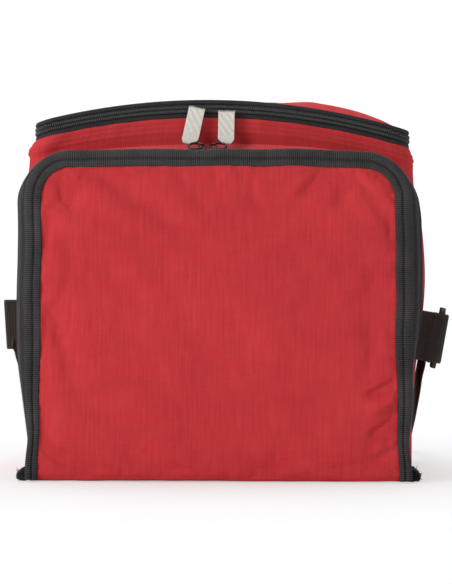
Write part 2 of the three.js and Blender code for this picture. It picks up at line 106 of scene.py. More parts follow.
def unit(vectors):
    return vectors / np.maximum(np.linalg.norm(vectors, axis=-1, keepdims=True), 1e-9)


def smooth(start, end, value):
    """0 before start, 1 after end, an S-curve between."""
    part = np.clip((np.asarray(value, float) - start) / (end - start), 0, 1)
    return part * part * (3 - 2 * part)


def fade(start, end, value):
    return 1 - smooth(start, end, value)


def hump(value, centre, width):
    return np.exp(-((value - centre) / width) ** 2)


def waver(value, length, sway, sway_length):
    """A ripple whose wavelength drifts to and fro."""
    return np.sin(value / length + sway * np.sin(value / sway_length))


def run_lengths(points):
    """Distance along a path at each of its points."""
    return np.concatenate([[0], np.cumsum(np.linalg.norm(np.diff(points, axis=0), axis=1))])


def sample(points, stations, at):
    """Each column of points, known at the stations, read off at other places."""
    columns = np.asarray(points, float).T
    return np.stack([np.interp(at, stations, column) for column in columns], -1)


def relax(points, rounds):
    """Evens out a path, keeping its ends."""
    points = np.array(points, float)
    for _ in range(rounds):
        points[1:-1] = (points[:-2] + 2 * points[1:-1] + points[2:]) / 4
    return points


def relax_closed(points, rounds):
    for _ in range(rounds):
        points = (np.roll(points, 1, 0) + 2 * points + np.roll(points, -1, 0)) / 4
    return points


def resample(points, stations, count, rounds):
    return relax(sample(points, stations, np.linspace(0, stations[-1], count)), rounds)


def round_profile(corners, count, rounds):
    """A closed polygon divided evenly by side, with its corners rounded off."""
    at = np.linspace(0, len(corners), count, endpoint=False)
    side = at.astype(int) % len(corners)
    part = (at - np.floor(at))[:, None]
    ring = corners[side] * (1 - part) + np.roll(corners, -1, 0)[side] * part
    return relax_closed(ring, rounds)


def noise_at(points, size, seed):
    """Smooth noise in about -1..1 at points in millimetres, with features about `size` across."""
    points = np.asarray(points, float)
    moved = points.reshape(-1, 3) / size + np.array([seed, -seed * 0.7, seed * 0.3])
    return np.array([noise.noise(Vector(point)) for point in moved]).reshape(points.shape[:-1])


# ---------------------------------------------------------------- the bag's soft shape
def fullness(z):
    """How far the compartment's walls belly out at a height, 0..1."""
    height = np.power(np.clip(np.asarray(z, float) / RIM_Z, 0, 1), 1.25)
    return np.power(np.maximum(0, np.sin(PI * height)), 1.8)


def crown_lift(x, y, crown):
    across = np.clip(np.abs(x) / HALF_W, 0, 1)
    depth = np.clip(y / HALF_D, -1.02, 1.02)
    swelling = LID_SWELL * hump(x, 80, 45.0) * (1 - across ** 6) if crown > 0 else 0.0
    return (crown * (1 - across * across) + swelling) * np.maximum(0, 1 - depth * depth)


def soften(points, crown=0.0):
    """The smooth map from the compartment's plain box to its soft shape."""
    x, y, z = split(points)
    across = np.clip(np.abs(x) / HALF_W, 0, 1)
    depth = np.clip(y / HALF_D, -1.02, 1.02)
    full = fullness(z)
    upper = smooth(140, 262, z)
    forward = np.clip((HALF_D - y) / (2 * HALF_D), 0, 1)
    rear = REAR_DROP + REAR_CORNER * smooth(95, 141, np.abs(x))
    drop = forward * ARCH_K * (x - ARCH_X) ** 2 + (1 - forward) * rear
    belly = 1 + (SIDE_BULGE / HALF_W) * full * (1 - 0.3 * depth * depth)
    new_x = x * belly * (1 - RIM_IN * smooth(246, 266, z)) + RIM_X * smooth(225, 264, z)
    middle = (1 - across * across) * depth
    new_y = y + np.where(y > 0, BACK_BULGE * full, FRONT_BOW * upper) * middle
    return stack(new_x, new_y, z - upper * drop + crown_lift(x, y, crown))


def splay(points):
    """Spreads the pocket's sides towards its rear."""
    x, y, z = split(points)
    flare = np.where(x < 0, FLARE_LEFT * smooth(25, 95, z) * fade(200, 240, z),
                     FLARE_RIGHT * smooth(70, 125, z) * fade(190, 240, z))
    rearward = np.clip((y + 94) / 14, 0, 1)
    return stack(x + np.sign(x) * flare * rearward * np.power(np.abs(x) / PANEL_HALF_W, 3), y, z)


def settle(points):
    """How the pocket hangs: its sides draw in above the bottom corners and its lower edge sags."""
    x, y, z = split(points)
    side = np.sign(x)
    across = np.clip(np.abs(x) / PANEL_HALF_W, 0, 1.1)
    waist = hump(z, 32, 17.0) * np.where(x > 0, 2.3, 1.7)
    # towards the bottom the edging's inner edge runs further out, so that it narrows
    narrow = (3.0 * fade(15, 125, z) * smooth(60, 126, np.abs(x))
              * fade(128, 139.6, np.abs(x)))
    new_x = x - side * (waist * np.power(across, 8) - narrow)
    new_x = new_x + (0.55 * np.sin(z / 21.0 + side * 0.9) * np.power(across, 3)
                     * smooth(20, 60, z) * fade(190, 225, z))
    dip = 1.5 * hump(new_x, 108, 26.0) * fade(3, 30, z) * 0.6
    top = (-3.2 * smooth(60, 139, x) * smooth(120, 215, z)
           - 0.8 * smooth(70, 139, -x) * smooth(150, 225, z))
    return stack(new_x, y, z - dip + top)


def pocket_map(points):
    return settle(splay(points))


# ---------------------------------------------------------------- outlines
def straight(length, start, direction, normal):
    """A straight piece of an outline: its length, and a function from distance to place."""
    def place(step):
        return np.array(start) + step[:, None] * np.array(direction), normal
    return length, place


def corner(centre, radius, start_angle, turn):
    """A quarter turn of an outline; turn is 1 for anticlockwise and -1 for clockwise."""
    def place(step):
        angle = math.radians(start_angle) + turn * step / radius
        normal = stack(np.cos(angle), np.sin(angle))
        return np.array(centre) + radius * normal, normal
    return PI / 2 * radius, place


def trace(segments, along, out):
    """Points `out` from the outline at the distances `along`, and outward normals."""
    along, out = np.broadcast_arrays(np.asarray(along, float), np.asarray(out, float))
    points, normals = np.zeros(along.shape + (2,)), np.zeros(along.shape + (2,))
    start = 0.0
    for length, place in segments:
        here = (along >= start - 1e-9) & (along <= start + length + 1e-9)
        points[here], normals[here] = place(along[here] - start)
        start += length
    return points + normals * out[..., None], normals


OUTLINE = [
    straight(STRAIGHT_X, (0, HALF_D), (-1, 0), (0, 1)),
    corner((-STRAIGHT_X, STRAIGHT_Y), CORNER_R, 90, 1),
    straight(2 * STRAIGHT_Y, (-HALF_W, STRAIGHT_Y), (0, -1), (-1, 0)),
    corner((-STRAIGHT_X, -STRAIGHT_Y), CORNER_R, 180, 1),
    straight(2 * STRAIGHT_X, (-STRAIGHT_X, -HALF_D), (1, 0), (0, -1)),
    corner((STRAIGHT_X, -STRAIGHT_Y), CORNER_R, 270, 1),
    straight(2 * STRAIGHT_Y, (HALF_W, -STRAIGHT_Y), (0, 1), (1, 0)),
    corner((STRAIGHT_X, STRAIGHT_Y), CORNER_R, 0, 1),
    straight(STRAIGHT_X, (STRAIGHT_X, HALF_D), (-1, 0), (0, 1)),
]


def outline(along, out=0.0):
    """(x, y) on the compartment's plan, from the middle of the back round the left side, the
    front and the right side."""
    return trace(OUTLINE, np.mod(np.asarray(along, float), OUTLINE_L), out)


def rim_point(along, out, z):
    flat, _ = outline(along, out)
    return soften(stack(flat[..., 0], flat[..., 1], z))


ARCH_SIDE = PANEL_TOP - PANEL_R
ARCH_HALF_TOP = PANEL_HALF_W - PANEL_R


def arch_length(bottom):
    return 2 * (ARCH_SIDE - bottom) + PI * PANEL_R + 2 * ARCH_HALF_TOP


def arch(along, out, bottom):
    """(x, z) on the pocket's outline: up the left, across the top, down the right."""
    side = ARCH_SIDE - bottom
    return trace([
        straight(side, (-PANEL_HALF_W, bottom), (0, 1), (-1, 0)),
        corner((-ARCH_HALF_TOP, ARCH_SIDE), PANEL_R, 180, -1),
        straight(2 * ARCH_HALF_TOP, (-ARCH_HALF_TOP, PANEL_TOP), (1, 0), (0, 1)),
        corner((ARCH_HALF_TOP, ARCH_SIDE), PANEL_R, 90, -1),
        straight(side, (PANEL_HALF_W, ARCH_SIDE), (0, -1), (1, 0)),
    ], along, out)


def pocket_point(along, out, y, bottom):
    flat, _ = arch(along, out, bottom)
    return pocket_map(stack(flat[..., 0], y, flat[..., 1]))


def zip_bulge(x_normal, y, z):
    """The pocket's zip and side wall bow outwards on the two sides, past the edging."""
    amount = (np.where(x_normal < 0, 3.8, 2.0 + 1.4 * fade(70, 130, z))
              * smooth(0.12, 0.75, np.abs(x_normal)) * smooth(8, 40, z))
    return amount * smooth(-94.2, -84.5, y) * fade(-79.5, -63.0, y)


def bulged_point(along, out, y, bottom):
    flat, normal = arch(along, out, bottom)
    return pocket_point(along, out + zip_bulge(normal[..., 0], y, flat[..., 1]), y, bottom)


# ---------------------------------------------------------------- shader building
SLOTS = {}    # material name: the slot its pieces fill
SOCKETS = {"color": "Base Color", "rough": "Roughness", "metal": "Metallic", "normal": "Normal",
           "spec": "Specular IOR Level", "sheen": "Sheen Weight",
           "sheen_rough": "Sheen Roughness", "sheen_tint": "Sheen Tint", "coat": "Coat Weight",
           "coat_rough": "Coat Roughness", "sub": "Subsurface Weight"}


def rgb(*channels):
    """A display colour, 0..255 a channel, as linear RGBA."""
    shares = [channel / 255 for channel in channels]
    linear = [share / 12.92 if share <= 0.04045 else ((share + 0.055) / 1.055) ** 2.4
              for share in shares]
    return (*linear, 1.0)


class Shader:
    """A short way to write node materials. Values may be numbers, colours or sockets."""

    def __init__(self, name, slot=None):
        SLOTS[name] = slot
        self.material = bpy.data.materials.new(name)
        self.material.use_nodes = True
        self.tree = self.material.node_tree
        self.tree.nodes.clear()
        self.output = self.node("OutputMaterial")
        self.bsdf = self.node("BsdfPrincipled")
        self.put(self.output.inputs[0], self.bsdf.outputs[0])

    def node(self, kind):
        return self.tree.nodes.new("ShaderNode" + kind)

    def put(self, socket, value):
        if isinstance(value, bpy.types.NodeSocket):
            self.tree.links.new(value, socket)
        elif value is not None:
            socket.default_value = value

    def calc(self, operation, first, second=None, clamp=False):
        node = self.node("Math")
        node.operation = operation
        node.use_clamp = clamp
        self.put(node.inputs[0], first)
        self.put(node.inputs[1], second)
        return node.outputs[0]

    def times(self, first, second, clamp=False):
        return self.calc("MULTIPLY", first, second, clamp)

    def plus(self, first, second, clamp=False):
        return self.calc("ADD", first, second, clamp)

    def sine(self, value, rate):
        return self.calc("SINE", self.times(value, rate))

    def ribs(self, value, pitch):
        """Rounded ridges 0..1, one for each pitch in millimetres."""
        return self.calc("ABSOLUTE", self.sine(value, PI / pitch))

    def scaled(self, vector, *factors):
        node = self.node("VectorMath")
        node.operation = "MULTIPLY"
        self.put(node.inputs[0], vector)
        node.inputs[1].default_value = factors
        return node.outputs[0]

    def cloth(self, along=1.0, across=1.0):
        """Fabric coordinates in millimetres, scaled."""
        node = self.node("UVMap")
        node.uv_map = "fab"
        return self.scaled(node.outputs[0], along, across, 1.0)

    def solid(self, x, y=None, z=None):
        """Object coordinates in millimetres, scaled; y and z follow x unless given."""
        node = self.node("TexCoord")
        factors = [1000 * (x if factor is None else factor) for factor in (x, y, z)]
        return self.scaled(node.outputs["Object"], *factors)

    def split(self, vector):
        node = self.node("SeparateXYZ")
        self.put(node.inputs[0], vector)
        return node.outputs[0], node.outputs[1]

    def noise(self, vector, detail=3.0, rough=0.55, seed=None):
        node = self.node("TexNoise")
        if seed is not None:
            node.noise_dimensions = "4D"
            node.inputs["W"].default_value = seed
        self.put(node.inputs["Vector"], vector)
        node.inputs["Scale"].default_value = 1.0
        node.inputs["Detail"].default_value = detail
        node.inputs["Roughness"].default_value = rough
        return node.outputs[0]

    def voronoi(self, vector, feature="F1"):
        node = self.node("TexVoronoi")
        node.feature = feature
        self.put(node.inputs["Vector"], vector)
        node.inputs["Scale"].default_value = 1.0
        return node.outputs[0]

    def remap(self, value, low=0.3, high=0.7, to=(0.0, 1.0)):
        """Values from low to high become values from to[0] to to[1]."""
        node = self.node("MapRange")
        for socket, setting in zip(node.inputs, (value, low, high, *to)):
            self.put(socket, setting)
        return node.outputs[0]

    def mix(self, factor, first, second, mode="MIX"):
        node = self.node("Mix")
        node.data_type = "RGBA"
        node.blend_type = mode
        self.put(node.inputs[0], factor)
        self.put(node.inputs[6], first)
        self.put(node.inputs[7], second)
        return node.outputs[2]

    def bump(self, height, strength, depth, under=None):
        """A bump `depth` millimetres high, on top of the normal `under`."""
        node = self.node("Bump")
        node.inputs["Strength"].default_value = strength
        node.inputs["Distance"].default_value = depth * MM
        self.put(node.inputs["Height"], height)
        self.put(node.inputs["Normal"], under)
        return node.outputs[0]

    def edges(self, low, high, to=(0.0, 1.0)):
        """How far a place stands out as a sharp edge."""
        return self.remap(self.node("NewGeometry").outputs["Pointiness"], low, high, to)

    def finish(self, **settings):
        for key, value in settings.items():
            self.put(self.bsdf.inputs[SOCKETS[key]], value)
        return self.material


# ---------------------------------------------------------------- materials
def weave(m, pitch):
    """Height 0..1 of a plain weave: over-and-under threads at one pitch both ways."""
    u, v = (m.times(part, PI / pitch) for part in m.split(m.cloth()))
    along, across = (m.calc("ABSOLUTE", m.calc("SINE", part)) for part in (u, v))
    parity = m.times(m.sine(u, 1.0), m.sine(v, 1.0))
    over = m.calc("GREATER_THAN", parity, 0.0)
    under = m.calc("SUBTRACT", 1.0, over)
    return m.plus(m.times(along, over), m.times(across, under))


def fabric(name, base, deep, pale):
    """Woven polyester with streaks, clouds and a coarse chequer that comes and goes."""
    m = Shader(name, "red_fabric")
    threads = weave(m, pitch=0.85)
    streaks = m.noise(m.cloth(0.62, 0.030), detail=4.0, rough=0.6)
    fine = m.noise(m.cloth(1.5, 1.2), detail=2.0, rough=0.6, seed=3.1)
    cross = m.noise(m.cloth(0.05, 0.9), rough=0.5, seed=8.4)
    cloud = m.noise(m.cloth(1 / 46.0, 1 / 38.0), detail=4.0, rough=0.6, seed=1.7)
    blotch = m.noise(m.cloth(1 / 11.0, 1 / 13.0), seed=5.2)
    u, v = m.split(m.cloth())
    chequer_rate = 2 * PI / 2.1
    chequer = m.times(m.sine(u, chequer_rate), m.sine(v, chequer_rate))
    patches = m.noise(m.cloth(1 / 34.0, 1 / 27.0), detail=2.0, rough=0.5, seed=12.0)
    clear = m.remap(patches, 0.42, 0.66, to=(0.05, 0.55))

    tone = m.remap(streaks, to=(-0.34, 0.34))
    for layer, amount in ((fine, 0.34), (cross, 0.10), (cloud, 0.34), (blotch, 0.12)):
        tone = m.plus(tone, m.remap(layer, to=(-amount, amount)))
    tone = m.plus(tone, m.times(chequer, clear))
    color = m.mix(m.remap(tone, -1.2, 1.2), deep, pale)
    color = m.mix(0.72, base, color)
    gaps = m.remap(threads, 0.0, 0.55, to=(0.62, 1.0))
    grey = m.node("CombineColor")
    for i in range(3):
        m.put(grey.inputs[i], gaps)
    color = m.mix(0.55, color, m.mix(1.0, color, grey.outputs[0], "MULTIPLY"))
    color = m.mix(m.edges(0.53, 0.62, to=(0.0, 0.35)), color, pale)

    normal = m.bump(threads, strength=0.22, depth=0.35)
    normal = m.bump(m.times(chequer, clear), strength=0.5, depth=0.30, under=normal)
    normal = m.bump(m.noise(m.cloth(0.24, 0.16)), strength=0.3, depth=0.6, under=normal)
    return m.finish(color=color, rough=m.remap(cloud, to=(0.80, 0.91)), normal=normal,
                    sheen=0.25, sheen_rough=0.45, sheen_tint=pale, spec=0.22)


def ribbed_tape(name, base, pale, pitch):
    """Binding tape: cross ribs, with a fine thread running along each."""
    m = Shader(name, "black_tape")
    u, v = m.split(m.cloth())
    rib = m.ribs(u, pitch)
    thread = m.ribs(v, 0.55)
    flecks = m.noise(m.cloth(0.5, 2.0))
    cloud = m.noise(m.solid(1 / 30.0), detail=2.0)
    tone = m.times(m.remap(rib, 0.35, 1.0, to=(0.0, 0.75)), m.remap(flecks, to=(0.4, 1.0)))
    tone = m.plus(tone, m.remap(cloud, 0.35, 0.7, to=(-0.05, 0.22)), clamp=True)
    normal = m.bump(rib, strength=0.5, depth=0.3)
    normal = m.bump(thread, strength=0.25, depth=0.15, under=normal)
    return m.finish(color=m.mix(tone, base, pale), rough=0.75, normal=normal, sheen=0.15,
                    sheen_rough=0.4, sheen_tint=pale, spec=0.28)


def coil_nylon():
    m = Shader("zip_coil_nylon", "zip_coil")
    mottle = m.noise(m.solid(1 / 1.1), detail=2.0)
    color = m.mix(m.remap(mottle, 0.35, 0.7), rgb(30, 29, 31), rgb(66, 64, 66))
    # painted highlight: the coil's sharp edges are lightened to stand in for the glints along its
    # turns
    color = m.mix(m.edges(0.53, 0.64, to=(0.0, 0.35)), color, rgb(112, 110, 111))
    grain = m.noise(m.solid(2.0), detail=2.0)
    return m.finish(color=color, rough=m.remap(mottle, to=(0.30, 0.48)), spec=0.5,
                    normal=m.bump(grain, strength=0.15, depth=0.1))


def slider_metal():
    """Black lacquered metal, worn bright in patches along its edges."""
    m = Shader("slider_black_metal", "slider_metal")
    mottle = m.noise(m.solid(1 / 2.5), detail=4.0)
    wear = m.times(m.edges(0.53, 0.62), m.remap(mottle, 0.42, 0.6))
    return m.finish(color=m.mix(wear, rgb(10, 10, 10), rgb(70, 66, 64)),
                    metal=m.remap(wear, 0.0, 1.0, to=(0.25, 0.95)),
                    rough=m.remap(mottle, to=(0.28, 0.46)), spec=0.5, coat=0.3, coat_rough=0.25,
                    normal=m.bump(m.noise(m.solid(1.4)), strength=0.12, depth=0.1))


def buckle_plastic():
    m = Shader("buckle_plastic")
    grain = m.noise(m.solid(3.0))
    cloud = m.noise(m.solid(1 / 9.0), detail=2.0)
    color = m.mix(m.remap(cloud, 0.35, 0.65), rgb(46, 36, 33), rgb(66, 52, 47))
    color = m.mix(m.edges(0.52, 0.6, to=(0.0, 0.45)), color, rgb(104, 84, 76))
    return m.finish(color=color, rough=m.remap(grain, to=(0.42, 0.58)), spec=0.45,
                    normal=m.bump(grain, strength=0.3, depth=0.08))


def webbing_weave():
    """Small chevrons either side of each lengthwise rib."""
    m = Shader("black_webbing", "webbing")
    u, v = m.split(m.cloth())
    fold = m.ribs(v, 3.2)
    slant = m.plus(m.times(u, 1.0), m.times(fold, 1.6))
    chevron = m.sine(slant, 2 * PI / 1.5)
    flecks = m.noise(m.cloth(0.35, 1.2))
    cloud = m.noise(m.solid(1 / 40.0), detail=2.0)
    tone = m.times(m.remap(chevron, -1.0, 1.0, to=(0.0, 0.8)), m.remap(flecks, to=(0.35, 1.0)))
    tone = m.plus(tone, m.remap(cloud, 0.35, 0.7, to=(-0.08, 0.2)), clamp=True)
    color = m.mix(tone, rgb(36, 34, 32), rgb(78, 73, 68))
    color = m.mix(m.edges(0.52, 0.6, to=(0.0, 0.3)), color, rgb(100, 94, 88))
    return m.finish(color=color, rough=0.8, normal=m.bump(chevron, strength=0.5, depth=0.25),
                    sheen=0.2, sheen_rough=0.4, sheen_tint=rgb(120, 114, 108), spec=0.25)


def pull_twill():
    m = Shader("offwhite_pull_tape", "pull_tape")
    u, v = m.split(m.cloth())
    twill = m.ribs(m.plus(m.times(u, 0.75), m.times(v, 1.0)), 1.15)
    flecks = m.noise(m.cloth(0.8, 0.8))
    cloud = m.noise(m.solid(1 / 6.0), detail=2.0)
    tone = m.times(m.remap(twill, 0.0, 0.8), m.remap(flecks, 0.25, 0.7, to=(0.5, 1.0)))
    color = m.mix(tone, rgb(182, 175, 160), rgb(252, 250, 243))
    color = m.mix(m.remap(cloud, 0.4, 0.75, to=(0.0, 0.18)), color, rgb(228, 220, 200))
    return m.finish(color=color, rough=0.9, normal=m.bump(twill, strength=0.7, depth=0.35),
                    sheen=0.3, sheen_rough=0.5, spec=0.2)


def foam():
    m = Shader("foam_board", "foam")
    cells = m.voronoi(m.solid(1 / 0.9))
    cloud = m.noise(m.solid(1 / 14.0))
    color = m.mix(m.remap(cells, 0.1, 0.6), rgb(196, 196, 190), rgb(238, 238, 232))
    color = m.mix(m.remap(cloud, 0.4, 0.7, to=(0.0, 0.3)), color, rgb(222, 216, 196))
    return m.finish(color=color, rough=0.9, normal=m.bump(cells, strength=0.5, depth=0.4),
                    spec=0.2, sub=0.05)


def silver_film():
    m = Shader("silver_liner_film", "liner_film")
    creases = m.voronoi(m.solid(1 / 22.0), "DISTANCE_TO_EDGE")
    crinkle = m.noise(m.solid(1 / 7.0), detail=5.0, rough=0.62)
    u, v = m.split(m.cloth())
    quilt = m.times(m.ribs(u, 2.2), m.ribs(v, 2.2))
    normal = m.bump(m.remap(creases, 0.0, 0.09), strength=0.35, depth=0.8)
    normal = m.bump(crinkle, strength=0.5, depth=1.2, under=normal)
    normal = m.bump(quilt, strength=0.25, depth=0.2, under=normal)
    return m.finish(color=m.mix(m.remap(crinkle), rgb(164, 167, 171), rgb(214, 216, 219)),
                    metal=0.72, rough=m.remap(crinkle, to=(0.26, 0.46)), normal=normal, spec=0.5)


def grey_board():
    m = Shader("base_board_grey", "base_board")
    mottle = m.noise(m.solid(1 / 1.5), detail=5.0, rough=0.7)
    fibre = m.noise(m.solid(1 / 6.0, 1 / 0.8, 1.0))
    color = m.mix(m.remap(mottle, 0.35, 0.65), rgb(98, 98, 98), rgb(140, 140, 138))
    return m.finish(color=color, rough=0.85, spec=0.2,
                    normal=m.bump(m.plus(mottle, fibre), strength=0.3, depth=0.2))


def thread(name, slot, dark, light):
    m = Shader(name, slot)
    u, v = m.split(m.cloth())
    twist = m.sine(m.plus(u, m.times(v, 1.4)), 2 * PI / 0.6)
    return m.finish(color=m.mix(m.remap(twist, -1.0, 1.0), dark, light), rough=0.7,
                    normal=m.bump(twist, strength=0.5, depth=0.08), sheen=0.2, spec=0.3)


RED = fabric("red_polyester", base=rgb(200, 44, 50), deep=rgb(164, 24, 32),
             pale=rgb(222, 74, 76))
# A paler copy of the red fabric. This is painted light: it stands in for the top light falling on
# the pocket gusset's upper strip.
RED_PAINTED_TOPLIT = fabric("red_polyester_gusset", base=rgb(226, 78, 82), deep=rgb(204, 50, 56),
                    pale=rgb(240, 108, 108))
BLACK_RIB = ribbed_tape("black_ribbed_tape", rgb(17, 16, 18), rgb(88, 85, 86), pitch=1.5)
BLACK_TAPE = ribbed_tape("black_zip_tape", rgb(30, 29, 31), rgb(54, 52, 54), pitch=0.7)
BLACK_BIND = ribbed_tape("black_rim_binding", rgb(34, 33, 35), rgb(70, 68, 70), pitch=1.1)
COIL = coil_nylon()
METAL = slider_metal()
PLASTIC = buckle_plastic()
WEBBING = webbing_weave()
PULL = pull_twill()
FOAM = foam()
LINER = silver_film()
BOARD = grey_board()
THREAD_RED = thread("thread_red", "red_fabric", rgb(158, 28, 38), rgb(206, 66, 72))
THREAD_BLACK = thread("thread_black", "black_tape", rgb(34, 33, 34), rgb(80, 77, 76))
# The frayed threads are real, but their brown colour is a painted glint. It stands in for the
# brownish glints on the black tape at the pocket's bunched zip ends.
THREAD_GLINT_BROWN = thread("thread_brown", "black_tape", rgb(96, 52, 40), rgb(150, 92, 72))
THREAD_PALE = thread("thread_pale", "pull_tape", rgb(196, 190, 172), rgb(232, 228, 216))


# ---------------------------------------------------------------- meshes
# A geometry is (vertices in mm, faces, fabric coordinates in mm for each vertex).
def face_outwards(mesh):
    work = bmesh.new()
    work.from_mesh(mesh)
    bmesh.ops.recalc_face_normals(work, faces=work.faces)
    work.to_mesh(mesh)
    work.free()


def lay_uv(mesh, uv, period):
    """Fabric coordinates; with a period, faces across the outline's join don't run backwards."""
    layer = mesh.uv_layers.new(name="fab")
    corners = np.zeros(len(mesh.loops), np.int32)
    mesh.loops.foreach_get("vertex_index", corners)
    values = uv[corners].copy()
    if period:
        totals = np.zeros(len(mesh.polygons), np.int32)
        mesh.polygons.foreach_get("loop_total", totals)
        face = np.repeat(np.arange(len(totals)), totals)
        highest = np.zeros(len(totals))
        np.maximum.at(highest, face, values[:, 0])
        values[(highest[face] - values[:, 0]) > period / 2, 0] += period
    layer.data.foreach_set("uv", values.astype(np.float32).ravel())


def make(name, geometry, material, node=None, body=None, slot=None, period=None,
         rides=True, outward=True):
    """An object from a geometry. It replaces the CAD node, if one is given, and rides the body
    named, or else the node's own."""
    verts, faces, uv = geometry
    mesh = bpy.data.meshes.new(name)
    mesh.from_pydata((verts * MM).tolist(), [], faces)
    lay_uv(mesh, uv, period)
    mesh.polygons.foreach_set("use_smooth", [True] * len(mesh.polygons))
    mesh.update()
    obj = bpy.data.objects.new(name, mesh)
    bpy.context.scene.collection.objects.link(obj)
    mesh.materials.append(material)
    slot or SLOTS[material.name]
    if node:
        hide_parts(node)
    if rides:
        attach(obj, body or BODY[node])
    if outward:
        face_outwards(mesh)
    return obj


def quads(rows, columns, close_u=False, close_v=False):
    """Quads over a grid of points: u runs along a row, v from row to row."""
    index = np.arange(rows * columns).reshape(rows, columns)
    low = index if close_v else index[:-1]
    high = np.roll(index, -1, 0) if close_v else index[1:]
    if close_u:
        low_next, high_next = np.roll(low, -1, 1), np.roll(high, -1, 1)
    else:
        low_next, high_next = low[:, 1:], high[:, 1:]
        low, high = low[:, :-1], high[:, :-1]
    return np.stack([low, low_next, high_next, high], -1).reshape(-1, 4)


def loft(sections, uv=None, close_v=False):
    """Closed sections joined one to the next, with end caps unless the last meets the first."""
    rows, columns = sections.shape[:2]
    faces = quads(rows, columns, True, close_v).tolist()
    if not close_v:
        first = list(range(columns))
        faces += [first[::-1], [i + (rows - 1) * columns for i in first]]
    uv = np.zeros((rows * columns, 2)) if uv is None else uv.reshape(-1, 2)
    return sections.reshape(-1, 3), faces, uv


def join(parts):
    verts, faces, coords, count = [], [], [], 0
    for part_verts, part_faces, part_uv in parts:
        verts.append(part_verts)
        faces += [[i + count for i in face] for face in part_faces]
        coords.append(part_uv)
        count += len(part_verts)
    return np.concatenate(verts), faces, np.concatenate(coords)


def grid_normals(grid, close_u=False):
    if close_u:
        along = np.roll(grid, -1, 1) - np.roll(grid, 1, 1)
    else:
        along = np.gradient(grid, axis=1)
    return unit(np.cross(along, np.gradient(grid, axis=0)))


def sheet(name, grid, thickness, material, uv, close_u=False, **fitting):
    """A closed sheet behind the grid, whose outside is the side its normals face."""
    inner = grid - grid_normals(grid, close_u) * thickness
    rows, columns = grid.shape[:2]
    count = rows * columns
    skin = quads(rows, columns, close_u)
    faces = skin.tolist() + (skin[:, ::-1] + count).tolist()

    def wall(edge, forward):
        for i, j in zip(edge[:-1].tolist(), edge[1:].tolist()):
            face = (i, j, j + count, i + count)
            faces.append(face if forward else face[::-1])

    index = np.arange(count).reshape(rows, columns)
    for row, forward in ((index[0], False), (index[-1], True)):
        wall(np.append(row, row[0]) if close_u else row, forward)
    if not close_u:
        wall(index[:, 0], True)
        wall(index[:, -1], False)
    verts = np.concatenate([grid.reshape(-1, 3), inner.reshape(-1, 3)])
    coords = np.concatenate([uv.reshape(-1, 2)] * 2)
    return make(name, (verts, faces, coords), material, **fitting)


def tube(path, radius, sides, closed=False):
    """A round wire along a path; the radius is one number or one for each point."""
    path = np.asarray(path, float)
    count = len(path)
    if closed:
        tangent = unit(np.roll(path, -1, 0) - np.roll(path, 1, 0))
    else:
        tangent = unit(np.gradient(path, axis=0))
    reference = np.array([0, 0, 1.0] if abs(tangent[0, 2]) < 0.9 else [1.0, 0, 0])
    across = [unit(np.cross(tangent[0], reference))]
    for ahead in tangent[1:]:
        across.append(unit(across[-1] - ahead * (across[-1] @ ahead)))
    across = np.array(across)
    if closed:  # undo the frame's turn over one lap, shared along the way
        end = unit(across[-1] - tangent[0] * (across[-1] @ tangent[0]))
        turn = math.atan2(np.cross(across[0], end) @ tangent[0], across[0] @ end)
        back = (-turn * np.arange(count) / count)[:, None]
        across = across * np.cos(back) + np.cross(tangent, across) * np.sin(back)
    up = np.cross(tangent, across)
    angle = np.linspace(0, 2 * PI, sides, endpoint=False)
    radius = np.broadcast_to(np.asarray(radius, float), (count,))
    spokes = (np.cos(angle)[None, :, None] * across[:, None]
              + np.sin(angle)[None, :, None] * up[:, None])
    sections = path[:, None] + radius[:, None, None] * spokes
    uv = stack(run_lengths(path)[:, None], angle[None] * radius[:, None])
    return loft(sections, uv, close_v=closed)


def stitches(name, points, normals, body, material=THREAD_RED, length=2.4, gap=0.9,
             radius=0.28, proud=0.12, slot=None):
    """A row of thread stitches along points that lie on a surface with the given normals."""
    normals = np.broadcast_to(np.asarray(normals, float), points.shape)
    stations = run_lengths(points)
    pitch = length + gap
    parts = []
    for k in range(int(stations[-1] // pitch)):
        start = k * pitch + gap / 2
        at = np.linspace(start, start + length, 5)
        lift = (np.array([-0.35, 0.75, 1.0, 0.75, -0.35]) * proud)[:, None]
        path = sample(points, stations, at) + unit(sample(normals, stations, at)) * lift
        parts.append(tube(path, np.array([0.55, 0.95, 1, 0.95, 0.55]) * radius, 6))
    return make(name, join(parts), material, body=body, slot=slot, outward=False)


def rounded_grid(x_values, y_values, half_x, half_y, radius):
    """A grid whose outer corners are pulled in to a radius."""
    x, y = np.meshgrid(x_values, y_values)
    over_x, over_y = np.abs(x) - (half_x - radius), np.abs(y) - (half_y - radius)
    at_corner = (over_x > 0) & (over_y > 0)
    u, v = np.clip(over_x / radius, 0, 1), np.clip(over_y / radius, 0, 1)
    round_x = np.sign(x) * (half_x - radius + radius * u * np.sqrt(1 - v * v / 2))
    round_y = np.sign(y) * (half_y - radius + radius * v * np.sqrt(1 - u * u / 2))
    return np.where(at_corner, round_x, x), np.where(at_corner, round_y, y)


def plate_grid(inset, columns, rows):
    """(x, y) over the rounded plate `inset` inside the compartment's outline."""
    half_x, half_y = HALF_W - inset, HALF_D - inset
    return rounded_grid(np.linspace(-half_x, half_x, columns), np.linspace(-half_y, half_y, rows),
                        half_x, half_y, CORNER_R - inset)


def plate_edge(x, y, inset):
    """Distance in from the plate's sides."""
    return np.minimum(HALF_W - inset - np.abs(x), HALF_D - inset - np.abs(y))


def panel_grid(inset, bottom, columns, rows):
    """(x, z) over the pocket's front, `inset` inside its outline."""
    half, top = PANEL_HALF_W - inset, PANEL_TOP - inset
    return rounded_grid(np.linspace(-half, half, columns), np.linspace(bottom, top, rows),
                        half, top, PANEL_R - inset)


